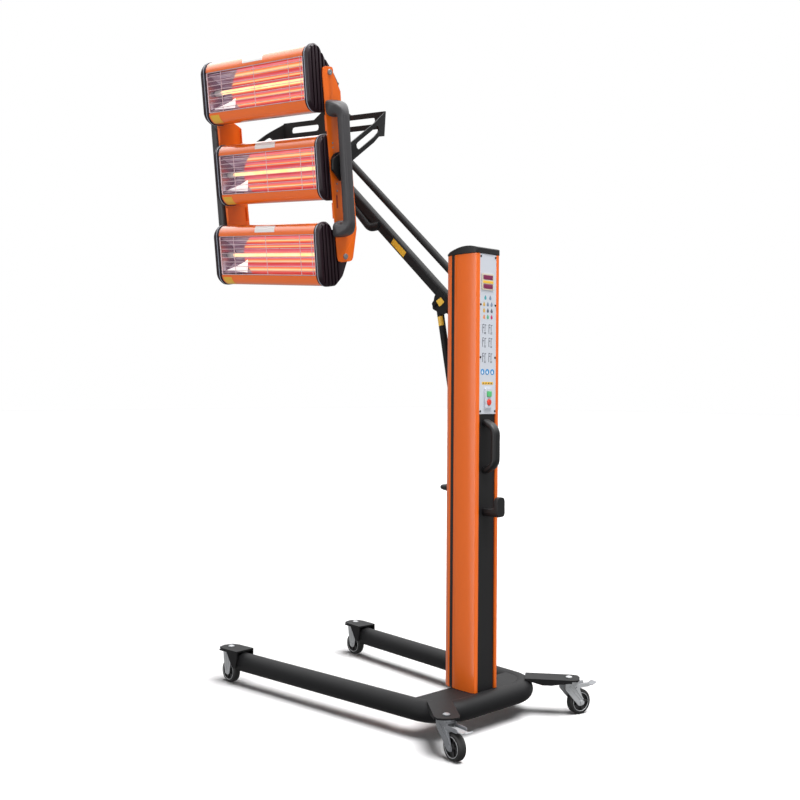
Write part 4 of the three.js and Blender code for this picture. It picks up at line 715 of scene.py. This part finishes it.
# Panel: its face, the foil's thickness, and the places of marks as (x, z)
PANEL_FACE, FOIL = 94.8, 0.35
DISPLAY_X, WINDOWS = -2.8, {"upper": (1263.2, 1275.8), "lower": (1237.4, 1249.9)}
DROPS = {"teal": ((-11.6, 1211),), "slate": ((9.1, 1211), (-1.2, 1192.5), (15, 1192.5)),
         "ochre": ((-17, 1192.5), (-16.8, 1174.8)), "grey": ((-1, 1174.8), (15.1, 1174.8)),
         "coral": ((-16.6, 1156.6),), "leaf": ((-1, 1156.6),), "magenta": ((15.2, 1156.6),)}
PICTOGRAMS = [(x, z) for z in (1124.5, 1086.5, 1043.5) for x in (-16, 10.2)]
ROUND_X, ROUND_Z, ROUND_RADIUS = (-22, -1.8, 19.5), 1003, 8.3
BAR_Z, BAR_X, BAR_DOTS = 971, -0.8, (-18, -7, 4, 15)
PANEL_SCREWS = [(x, z) for z in (1328, 1192.5, 1044, 892) for x in (-30.8, 30.8)]


def on_panel(outline, height=FOIL, edge=0.1):
    """A foil mark or plate on the panel's face."""
    return plate(stand, "y", outline, PANEL_FACE - height, PANEL_FACE, edge, 1)


def drop(x, z, radius=4.6):
    """Drop mark: a circle drawn out to a tip, its half width falling as a power of the height."""
    angles = np.linspace(0, 2 * math.pi, 28, endpoint=False)
    height = np.sin(angles)
    narrow = 1 - 0.75 * np.maximum(height, 0) ** 1.5
    tall = height * np.where(height > 0, 1.9, 1)
    return np.stack([x + radius * np.cos(angles) * narrow, z + radius * tall], 1)


def pictogram(x, z):
    """Generic operating mark: a lamp bar, its stand and two steps beside it."""
    bars = [(2, 26, -6, 0), (6, 2, -3.2, 12), (6, 2, -3.2, 4), (2, 18, 3.5, 2), (6.5, 2, 5.6, 11)]
    bars += [(7, 1.8, 4, -10 - 3.4 * step) for step in range(2)]
    return [on_panel(box(width, height, 0.5, x + a, z + b)) for width, height, a, b in bars]


def panel():
    """Silver foil panel: display, drop marks, pictograms, round marks, strip, switch and screws."""
    dress("control_panel", silver, 0.4)
    dress("display_window", bezel, 0.5)
    front = PANEL_FACE - 3
    for name, (low, high) in WINDOWS.items():
        shape = box(39, high - low, 0.8, DISPLAY_X, (high + low) / 2)
        add(f"display_{name}_window", plate(stand, "y", shape, front, front + 1.7, 0.3), "root", window)
    strip = plate(stand, "y", box(43, 7, 0.6, DISPLAY_X, 1256.4), front - 0.05, front + 0.7, 0.2)
    add("display_strip", strip, "root", yellow)
    marks = {name: [on_panel(drop(*place)) for place in places] for name, places in DROPS.items()}
    marks["grey"] += [bar for place in PICTOGRAMS for bar in pictogram(*place)]
    marks["blue"] = [on_panel(circle(ROUND_RADIUS, 28, x, ROUND_Z)) for x in ROUND_X]
    marks["pale"] = [on_panel(drop(x - 1, ROUND_Z - 2, 3.4), 2 * FOIL) for x in ROUND_X]
    marks["dark"] = [on_panel(box(5, 3.4, 1.2, x, BAR_Z), 2 * FOIL) for x in BAR_DOTS]
    add("yellow_strip", on_panel(box(47, 7.5, 1, BAR_X, BAR_Z)), "root", yellow)
    for name, skins in marks.items():
        add(f"panel_marks_{name}", gather(*skins), "root", ink[name])
    screw = [(3.2, -0.1), (3.1, -0.9), (2.0, -1.7), (0.6, -1.9)]
    screws = [lathe(stand.moved(x, PANEL_FACE, z), "y", screw, 16) for x, z in PANEL_SCREWS]
    add("panel_screws", gather(*screws), "root", moulded)
    dress("switch_frame", silver)
    dress("start_button", start_green)
    dress("stop_button", stop_red)


# Grab handle behind the column
GRAB_SEAT, GRAB_REACH, GRAB_THICK, GRAB_WIDE, GRAB_MIDDLE, GRAB_BEND = 97.7, 46, 18, 28, -4, 30
GRAB_HEIGHTS = (862, 844, 742, 724)
# Side handles of the head
HANDLE_SEAT, HANDLE_OUT, HANDLE_TUBE, HANDLE_FOOT, HANDLE_Y = 245.3, 285, 31, 66, 6
HANDLE_TOP, HANDLE_BOTTOM, HANDLE_BEND, HANDLE_GUSSET, HANDLE_FLARE = 165, -205, 34, 17, 15


def handles():
    """Grab handle behind the column and the two broad side handles of the head."""
    out = GRAB_SEAT - GRAB_REACH + GRAB_THICK / 2
    depths, bends = (GRAB_SEAT, out, out, GRAB_SEAT), (0, GRAB_BEND, GRAB_BEND, 0)
    path = route(list(zip(depths, GRAB_HEIGHTS, bends)), 12)
    ring = squircle(GRAB_THICK / 2, GRAB_WIDE / 2, 3) + (0, GRAB_MIDDLE)
    bar = sweep(stand, path, lambda a, b, across: spread("x", a, b, across), lambda share: ring)
    add("grab_handle_skin", bar, "root", moulded, crease=50)
    for side, name in SIDES:
        side_handle(side, name)


def side_handle(side, name):
    """Bent grip whose ends widen smoothly into feet on the rail: width falls as a half cosine."""
    quarter = HANDLE_TUBE / 4
    path = route([(HANDLE_SEAT, HANDLE_TOP, 0), (HANDLE_OUT, HANDLE_TOP - quarter, HANDLE_BEND),
                  (HANDLE_OUT, HANDLE_BOTTOM + quarter, HANDLE_BEND), (HANDLE_SEAT, HANDLE_BOTTOM, 0)], 14)
    steps = len(path[0]) - 1

    def section(share):
        index = share * steps
        near = min(index, steps - index) / HANDLE_FLARE
        flare = 0.5 + 0.5 * math.cos(math.pi * min(near, 1))
        ring = squircle(HANDLE_TUBE / 2, (HANDLE_TUBE + (HANDLE_FOOT - HANDLE_TUBE) * flare) / 2, 3.4, 40)
        inward = 1 + HANDLE_GUSSET * flare / (HANDLE_TUBE / 2)
        return np.where(ring[:, :1] < 0, ring * (inward, 1), ring)

    def lift(a, b, across):
        return spread("x", HANDLE_Y + across, b, side * np.maximum(a, HANDLE_SEAT))

    add(f"side_handle_{name}_skin", sweep(head_place, path, lift, section), "head", grip, crease=55)


# Tie rod and gas strut
TIE_RADIUS, TIE_EYE, TIE_BORE, TIE_HALF = 11, 15, 8.6, 19.4
STRUT_PIPE = ((5, 5), (5, 17), (10.5, 17), (10.5, 326), (9.5, 330), (5.6, 330))
STRUT_EYE, STRUT_BORE, STRUT_HALF = 10, 5.6, 8
# Tilt joints: their place on the yoke, the bolt's head, and the cover's corners from the joint
TILT_Y = 234.7
TILT_BOLT = ((6, 228.5), (6, 255.3), (18.4, 255.3), (19, 256), (19, 259.5), (17.5, 261.2), (12, 262.3),
             (6, 262.5), (3, 261))
TILT_COVER = ((38.5, 4), (36.5, -28), (0, -55), (-24, -50), (-24, 28), (2, 30))
COVER_SEAT, COVER_FACE = 255.4, 264


def arm():
    """Lift arm, tie rod, gas strut, conduit, knuckle and yoke."""
    for name, edge in (("main_arm", 0.6), ("strut_bracket", 0.8), ("knuckle", 1.2), ("yoke", 1.0)):
        dress(name, black, edge)
    tie = [lathe(tie_place, "y", [(TIE_RADIUS, 2), (TIE_RADIUS, ARM_LENGTH - 2)], 40)]
    tie += [boss(tie_place.moved(0, y), TIE_BORE, TIE_EYE, TIE_HALF, 36) for y in (0, ARM_LENGTH)]
    add("tie_rod_skin", gather(*tie), "tie", black)
    strut = [lathe(strut_place, "y", STRUT_PIPE, 36)]
    strut += [boss(strut_place, STRUT_BORE, STRUT_EYE, STRUT_HALF, 28)]
    add("strut_cylinder_skin", gather(*strut), "strut_cylinder", black)
    dress("strut_rod", zinc, 0.3)
    conduit()
    stickers()
    for side, name in SIDES:
        bolt = lathe(yoke_place.moved(0, TILT_Y, tilt_z), "x", TILT_BOLT, 40, flip=side)
        add(f"tilt_bolt_{name}_skin", bolt, "yoke", black)
        cover = rounded([(TILT_Y + y, tilt_z + z, 3) for y, z in TILT_COVER], 3)
        plates = plate(yoke_place, "x", cover, *sorted((side * COVER_SEAT, side * COVER_FACE)), 1.2)
        add(f"tilt_cover_{name}", plates, "yoke", moulded)


# Conduit: its ends along the arm, its lowest line, its size, its bends and how far it stands aside
CONDUIT_START, CONDUIT_END, CONDUIT_LOW = 500, 690, -31
CONDUIT_RADIUS, CONDUIT_BEND, CONDUIT_ASIDE = 13.5, 34, 7


def conduit():
    """Bent pipe that leaves the arm's side, bows out below it and comes back to it."""
    path = route([(CONDUIT_START, 2, 0), (CONDUIT_START + 36, CONDUIT_LOW, CONDUIT_BEND),
                  (CONDUIT_END - 52, CONDUIT_LOW + 6, CONDUIT_BEND), (CONDUIT_END, 2, 0)], 12)
    ring = circle(CONDUIT_RADIUS, 28) - (0, CONDUIT_ASIDE)
    pipe = sweep(arm_place, path, lambda a, b, across: spread("x", a, b, across), lambda share: ring)
    add("arm_conduit_skin", pipe, "arm", black, crease=60)


# Foils: the sides that they lie on, and their corners as (along the arm, height)
ARM_SIDE, BRACKET_SIDE = -14, -19.6
ARM_FOIL = ((418, 9), (418, -9.5), (344, -9.5), (344, 9))
BRACKET_FOIL = ((141, -21.5, 2), (132, -2, 2), (112, -4, 2), (119, -26, 2))
STRUT_FOIL, STRUT_FOIL_TURN, STRUT_FOIL_RADII = (38, 66), (150, 250), (10.9, 10.45)


def stickers():
    """Blank foils on the arm, its strut bracket and the strut."""
    label = plate(arm_place, "x", np.array(ARM_FOIL, float), ARM_SIDE - 0.4, ARM_SIDE + 0.2)
    add("arm_foil", label, "arm", ochre_label)
    diamond = rounded(BRACKET_FOIL, 3)
    add("bracket_foil", plate(arm_place, "x", diamond, BRACKET_SIDE - 0.5, BRACKET_SIDE + 0.4), "arm", yellow)
    angles = np.linspace(*np.radians(STRUT_FOIL_TURN), 12)
    outer, inner = (radius * around(angles) for radius in STRUT_FOIL_RADII)
    wrap = extrude(strut_place, "y", np.concatenate([outer, inner[::-1]]), STRUT_FOIL)
    add("strut_foil", wrap, "strut_cylinder", yellow, crease=60)


# Rails: the outer face, the slot drawn as a plate of painted shade, small screws (y, z, radius), and large
# screws (y, z)
RAIL_FACE, RAIL_SLOT = 245.1, (6, 40, 3, 12, -114)
SMALL_SCREWS = ((16.5, 57, 2.6), (17, 43.5, 2.6), (8, -62, 2.6), (9, -83, 2.6))
LARGE_SCREWS = ((12, 259), (-10, -279))
LARGE_SCREW = ((8.6, -0.3), (8.6, 3.2), (7.6, 4.3), (3.4, 4.5), (3.0, 4.2), (0.6, 4.2))


def rails():
    """Folded side rails with their screws, and their slots drawn as darker orange plates of painted shade."""
    for side, name in SIDES:
        dress(f"side_rail_{name}", orange, 0.7)
        faces = sorted((side * (RAIL_FACE - 0.4), side * (RAIL_FACE + 0.25)))
        # Painted shade: a dark orange plate on the face where the slot is
        add(f"rail_slot_painted_shade_{name}", plate(head_place, "x", box(*RAIL_SLOT), *faces), "head", painted_slot_shade)
        screws = [(y, z, ((radius, -0.4), (radius, 0.8), (radius - 1, 1.4), (0.6, 1.6)), 16)
                  for y, z, radius in SMALL_SCREWS]
        screws += [(y, z, LARGE_SCREW, 28) for y, z in LARGE_SCREWS]
        heads = [lathe(head_place.moved(side * RAIL_FACE, y, z), "x", profile, sides, flip=side)
                 for y, z, profile, sides in screws]
        add(f"rail_screws_{name}", gather(*heads), "head", steel)


# Cassette places on the head
CASSETTE_PITCH, CASSETTE_DROP, GRILLE_FORWARD, MIDDLE_SETBACK = 254.5, 13, 91, 26
# Cassette sizes; the back's corners are (depth, height, radius)
HOUSING_HALF, CASSETTE_HALF, LIP_RADIUS, REAR_RADIUS, WALL = 216, 95, 33, 17.2, 2.5
CASSETTE_BACK = [(-42, 95, REAR_RADIUS), (-64, 64, 20), (-100, 22, 20), (-124, -16, REAR_RADIUS),
                 (-108, -38, 20), (-88, -74, 20), (-62, -95, REAR_RADIUS)]
CAP_START, CAP_THICK, CAP_OVER = 216.3, 25, 2
RIB_SPAN, RIB_COUNT, GROOVE, GROOVE_DEEP = 84, 5, 5, 5
REFLECTOR_DEPTH, REFLECTOR_SETBACK, REFLECTOR_EDGE = 62, 6.6, 55.4
REFLECTOR_SHEET, REFLECTOR_HALF = 1.5, 215.5


def cassette_section(oversize=0.0):
    """Closed section of the cassette in (depth, height): rounded lips in front, a sloping back."""
    corners = [(0, CASSETTE_HALF, LIP_RADIUS), *CASSETTE_BACK, (0, -CASSETTE_HALF, LIP_RADIUS)]
    return inset(rounded(corners, 10), -oversize)


def housing(place, name, body):
    """Bent sheet round the cassette, open at the mouth, carried along the length with a wall."""
    outer = cassette_section()
    section = np.concatenate([outer, inset(outer, WALL)[::-1]])
    sheet = extrude(place, "x", section, (-HOUSING_HALF, HOUSING_HALF))
    add(f"{name}_housing_skin", sheet, body, glossy_orange, crease=30)


def upper_and_lower(outline):
    """The outline's two runs between its front and its back, each in order of depth."""
    order = np.roll(outline, -int(np.argmax(outline[:, 0])), 0)
    turn = int(np.argmin(order[:, 0]))
    runs = sorted((order[:turn + 1], order[turn:]), key=lambda run: -run[:, 1].mean())
    return [run[np.argsort(run[:, 0])] for run in runs]


def cap(place, name, body, side, hand):
    """Moulded end cover: a rim, a wider band, and upright ribs that round over at their ends."""
    face, rim = CAP_START + CAP_THICK, CAP_START + CAP_THICK / 4
    floor = face - GROOVE_DEEP
    inner, outer = cassette_section(), cassette_section(CAP_OVER)
    rings = [(inner, CAP_START), (inner, rim - 0.8), (outer, rim + 0.6), (outer, face - 9),
             (inset(outer, 1), face - 7), (inset(outer, 3), floor - 0.6), (inset(outer, 4), floor)]
    parts = [skin(place, layers("x", [(ring, side * along) for ring, along in rings]))]
    tops, bottoms = upper_and_lower(outer)
    cuts = [-RIB_SPAN * (index + 1) / (RIB_COUNT + 1) for index in range(RIB_COUNT)]
    sides_of_cuts = [middle + step for middle in cuts for step in (GROOVE / 2, -GROOVE / 2)]
    edges = [CAP_OVER - 0.4, *sides_of_cuts, outer[:, 0].min() + 0.6]
    for front, back in zip(edges[::2], edges[1::2]):
        depth = np.linspace(front, back, 16 if back < -100 else 7)
        high = np.interp(depth, tops[:, 0], tops[:, 1])
        low = np.interp(depth, bottoms[:, 0], bottoms[:, 1])
        middle = (front + back) / 2
        rings = []
        # Each ring: how far out, how much shorter at the rib's ends and how much narrower at its sides
        for along, ends, sides in ((floor - 4, 2.0, 0), (floor, 3.0, 0), (face - 2.2, 5.0, 0.2),
                                   (face - 0.7, 7.0, 0.8), (face, 10.0, 1.8)):
            drawn = middle + (depth - middle) * (1 - 2 * sides / (front - back))
            top = np.maximum(np.maximum(high - ends, low + ends + 0.5), (high + low) / 2 + 0.2)
            ring_z = np.concatenate([top, (low + ends)[::-1]])
            rings.append(spread("x", np.concatenate([drawn, drawn[::-1]]), ring_z, side * along))
        parts.append(skin(place, rings))
    add(f"{name}_cap_{hand}_skin", gather(*parts), body, ribbed, crease=45)
    # Thin hem on the rim: the real grey band, its light bluish tone a painted highlight
    hem = [(inset(outer, amount), side * along)
           for amount, along in ((-0.25, rim + 1), (-0.25, rim + 4), (0.8, rim + 4), (0.8, rim + 1))]
    hem = skin(place, layers("x", hem), joined=True)
    add(f"{name}_cap_{hand}_rim", hem, body, rim_plastic, crease=45)


def trough(share, offset=0.0):
    """Depth on the reflector at a share of its half height: it falls as one minus the share's square."""
    return -(REFLECTOR_DEPTH + offset) * (1 - share ** 2) - REFLECTOR_SETBACK


def reflector(place, name, body):
    """Polished trough with a sheet's thickness, its glow from the tube painted on as emission, between two
    end plates.
    """
    share = np.linspace(-1, 1, 41)
    front, rear, plate_edge = (np.stack([trough(share, offset), share * (REFLECTOR_EDGE + offset)], 1)
                               for offset in (0, REFLECTOR_SHEET, -REFLECTOR_SHEET))
    section = np.concatenate([rear, front[::-1]])
    stations = np.linspace(-REFLECTOR_HALF, REFLECTOR_HALF, 9)
    across = np.concatenate([(share + 1) / 2, (share[::-1] + 1) / 2])
    length = (stations + REFLECTOR_HALF) / (2 * REFLECTOR_HALF)
    uv = np.stack(np.broadcast_arrays(length[:, None], across[None, :]), -1).reshape(-1, 2)
    sheet = extrude(place, "x", section, stations)
    add(f"{name}_reflector_skin", sheet, body, painted_trough_glow, crease=60, uv=uv)
    ends = (1 - REFLECTOR_HALF, REFLECTOR_HALF - 1)
    plates = [plate(place, "x", plate_edge, x - 0.5, x + 0.5) for x in ends]
    add(f"{name}_end_plates", gather(*plates), body, mirror)


# Corners of the painted glint, a white self-lit sheet: place along the cassette and share of the trough's
# half height
GLINT_TIP, GLINT_UPPER, GLINT_LOWER = (212.0, -0.885), (154.5, -0.327), (101.0, -0.976)


def painted_glint_sheet(place, name, body):
    """Painted glint: a white, faintly self-lit three-cornered sheet on the lower trough near its cold end,
    standing in for a reflection; its edges run with the depth.
    """
    def between(first, last, shares):
        height = first[1] + (last[1] - first[1]) * shares
        start, end = 1 - first[1] ** 2, 1 - last[1] ** 2
        return first[0] + (last[0] - first[0]) * (1 - height ** 2 - start) / (end - start), height

    rings = []
    for along in np.linspace(0.03, 1, 16):
        top = between(GLINT_TIP, GLINT_UPPER, along)
        foot_x = GLINT_TIP[0] + (GLINT_LOWER[0] - GLINT_TIP[0]) * along
        foot = (foot_x, between(GLINT_TIP, GLINT_LOWER, along)[1])
        x, share = between(foot, top, np.linspace(0, 1, 12))
        face, back = (np.stack([x, trough(share) + lift, share * REFLECTOR_EDGE + lift], 1)
                      for lift in (1.1, 0.3))
        rings.append(np.concatenate([face, back[::-1]]))
    # The trough's painted glint
    add(f"{name}_foil", skin(place, rings), body, glint, crease=60)


# Infrared tube: its setback, radius and half length, and the ends' half length
LAMP_SETBACK, GLASS_RADIUS, GLASS_HALF, CERAMIC_HALF = 36, 6, 187, 215


def lamp_tube(place, name, body):
    """Glowing quartz tube between two ceramic ends on the reflector's focus."""
    line = place.moved(0, -LAMP_SETBACK)
    glass = lathe(line, "x", [(GLASS_RADIUS, -GLASS_HALF), (GLASS_RADIUS, GLASS_HALF)], 32)
    add(f"{name}_tube_glass", glass, body, glow, (f"{name}_infrared_tube",))
    end = [(5, CERAMIC_HALF - 0.5), (8.4, CERAMIC_HALF - 0.5), (9, CERAMIC_HALF - 1.5),
           (9, GLASS_HALF + 1.5), (8.2, GLASS_HALF - 1), (6.2, GLASS_HALF - 1.2)]
    ends = [lathe(line, "x", end, 28, flip=side) for side, _ in SIDES]
    add(f"{name}_tube_ceramics", gather(*ends), body, ceramic)


def rod(place, start, end, radius=1.0, sides=10):
    """Round wire between two points of a place."""
    start, end = np.array(start, float), np.array(end, float)
    along = unit(end - start)
    side = unit(np.cross(along, UP if abs(along[2]) < 0.9 else ACROSS))
    ring = circle(radius, sides)
    offsets = ring[:, :1] * side + ring[:, 1:] * np.cross(along, side)
    return skin(place, [start + offsets, end + offsets])


# Grille: half height, half length, the frame's depth, and the cross wires as shares of the half length
GRILLE_HALF, GRILLE_END, GRILLE_DEEP, WIRE, LONG_WIRES = 61.7, 215.7, -4.5, 1.5, 8
CROSS_WIRES, CROSS_DEPTH = (-0.93, -0.7, 0, 0.7), -4.2


def grille(place, name, body):
    """Guard of round wires: a deep frame, long wires in front and cross wires just behind them."""
    wide, tall = 2 * GRILLE_END, 2 * GRILLE_HALF
    outer, inner = box(wide, tall, 4), box(wide - 5, tall - 5, 2.5)
    rings = [(outer, -0.8), (inset(outer, 0.8), 0), (inset(inner, -0.8), 0), (inner, -0.8),
             (inner, GRILLE_DEEP), (outer, GRILLE_DEEP)]
    parts = [skin(place, layers("y", rings), joined=True)]
    for index in range(1, LONG_WIRES + 1):
        z = GRILLE_HALF * (2 * index / (LONG_WIRES + 1) - 1)
        parts.append(rod(place, (1 - GRILLE_END, -WIRE, z), (GRILLE_END - 1, -WIRE, z)))
    for share in CROSS_WIRES:
        x, reach = share * GRILLE_END, GRILLE_HALF - 1.5
        parts.append(rod(place, (x, CROSS_DEPTH, -reach), (x, CROSS_DEPTH, reach)))
    add(f"{name}_grille_skin", gather(*parts), body, wire, crease=60)


def lip_plate(place, start, end, x_from, x_to, slant=0.0):
    """Thin plate bent round a lip between two angles in degrees; its ends lean by the slant."""
    angles = np.linspace(*np.radians((start, end)), 12)
    centre = (-LIP_RADIUS, math.copysign(CASSETTE_HALF - LIP_RADIUS, start))
    inner, outer = (centre + (LIP_RADIUS + lift) * around(angles) for lift in (0.05, 0.6))
    section = np.concatenate([outer, inner[::-1]])
    lean = np.concatenate([np.linspace(0, slant, 12), np.linspace(slant, 0, 12)])
    return skin(place, [spread("x", section[:, 0], section[:, 1], x + lean) for x in (x_from, x_to)])


# Blank plates on the lips: first and last angle in degrees, first and last place along, and slant
WHITE_PLATE, OCHRE_PLATE = (16, 58, -46, 44, 8), (-12, -66, 170, 210)


def cassettes():
    """The three infrared cassettes, with a blank plate on each lip."""
    for step, name in ((1, "top"), (0, "middle"), (-1, "bottom")):
        body = "head" if step == 0 else f"{name}_cassette"
        forward = GRILLE_FORWARD - (MIDDLE_SETBACK if step == 0 else 0)
        place = head_place.moved(0, forward, step * CASSETTE_PITCH - CASSETTE_DROP)
        housing(place, name, body)
        for side, hand in SIDES:
            cap(place, name, body, side, hand)
        for part in (reflector, painted_glint_sheet, lamp_tube, grille):
            part(place, name, body)
        add(f"{name}_white_plate", lip_plate(place, *WHITE_PLATE), body, white_label, crease=60)
        add(f"{name}_ochre_plate", lip_plate(place, *OCHRE_PLATE), body, ochre_label, crease=60)


# Camera: its place in the stand's frame, its turn to the right of +Y and its lens
CAMERA_PLACE, CAMERA_YAW, CAMERA_ROLL, LENS, SHIFT = (-2204.5, -1850.0, 944.3), 43.753, 0.359, 46.63, -0.0098
# Light: direction, level and spread in degrees; level 1 lights a facing white surface fully
LIGHTS = {"overhead": ((0.03, -0.36, 1), 1.45, 40), "right_side": ((-0.25, -0.96, -0.06), 0.3, 50),
          "left_side": ((-0.95, 0.1, -0.04), 0.5, 40)}
# Surroundings from straight down (0) to straight up (1): what lights matt surfaces, and what gloss mirrors
SOFT_LIGHT = greys((0.0, 0.78), (0.48, 0.68), (0.54, 0.08), (1.0, 0.03))
MIRRORED, MIRRORED_LEVEL = greys((0.0, 0.06), (0.5, 0.14), (0.64, 0.2), (0.82, 1.0), (1.0, 1.0)), 3.0
FLOOR_HALF, FLOOR_TONES = 40000, ((0.0, (0.97, 0.965, 0.975)), (1.0, (0.985, 0.98, 0.985)))


def link_turned(name, data, right, above, back):
    """A camera or light that looks against the back vector; gives its object."""
    made = bpy.data.objects.new(name, data)
    made.matrix_world = Matrix(np.stack([right, above, back], 1).tolist()).to_4x4()
    bpy.context.scene.collection.objects.link(made)
    return made


def camera():
    """Level camera at the photograph's place."""
    yaw, roll = math.radians(CAMERA_YAW), math.radians(CAMERA_ROLL)
    look = np.array([math.sin(yaw), math.cos(yaw), 0])
    side = np.array([math.cos(yaw), -math.sin(yaw), 0])
    right = side * math.cos(roll) + UP * math.sin(roll)
    above = UP * math.cos(roll) - side * math.sin(roll)
    data = bpy.data.cameras.new("view")
    data.sensor_width, data.lens, data.shift_y = 36, LENS, SHIFT
    data.clip_start, data.clip_end = 0.05, 60
    made = link_turned("view", data, right, above, -look)
    made.location = stand(CAMERA_PLACE).tolist()
    bpy.context.scene.camera = made


def soft_sun(name, towards, level, spread_degrees):
    """Distant soft light from a direction."""
    data = bpy.data.lights.new(name, "SUN")
    data.energy, data.angle = math.pi * level, math.radians(spread_degrees)
    back = unit(towards)
    side = unit(np.cross((0.3, 0.9, 0.1), back))
    link_turned(name, data, side, np.cross(back, side), back)


def surroundings():
    """White behind everything, and for the light on the object greys that change with the height."""
    world = bpy.data.worlds.new("studio")
    world.use_nodes = True
    tree = world.node_tree
    direction = node(tree, "ShaderNodeTexCoord").outputs["Generated"]
    height = node(tree, "ShaderNodeSeparateXYZ", {"Vector": direction}).outputs["Z"]
    share = maths(tree, "MULTIPLY_ADD", height, 0.5, 0.5)
    glossy = scaled(tree, ramp(tree, share, MIRRORED), MIRRORED_LEVEL)
    paths = node(tree, "ShaderNodeLightPath").outputs
    seen = mix(tree, paths["Is Glossy Ray"], ramp(tree, share, SOFT_LIGHT), glossy)
    white = (1, 1, 1, 1)
    tree.links.new(mix(tree, paths["Is Camera Ray"], seen, white), tree.nodes["Background"].inputs["Color"])
    bpy.context.scene.world = world


def studio():
    """White floor that takes soft shadows, a large light overhead and one from each side."""
    surroundings()
    bpy.context.scene.view_settings.view_transform = "Standard"
    material, tree, shader = bare("pale_floor", "silver", {"Roughness": 0.9, "Specular IOR Level": 0.1})
    cloud = noise(tree, object_place(tree), 2.0, 2.0, 0.5)
    tree.links.new(ramp(tree, cloud, FLOOR_TONES), shader.inputs["Base Color"])
    corners = np.array([(-1, -1, 0), (1, -1, 0), (1, 1, 0), (-1, 1, 0)], float)
    ground = stand(corners * FLOOR_HALF)
    ground[:, 2] = cad_box[0][2]
    mesh = bpy.data.meshes.new("floor")
    mesh.from_pydata(ground.tolist(), [], [(0, 1, 2, 3)])
    mesh.materials.append(material)
    floor = bpy.data.objects.new("floor", mesh)
    floor.visible_diffuse = False
    floor.visible_glossy = False
    bpy.context.scene.collection.objects.link(floor)
    for name, light in LIGHTS.items():
        soft_sun(name, *light)


for make in (camera, base, casters, column, panel, handles, arm, rails, cassettes, studio):
    make()
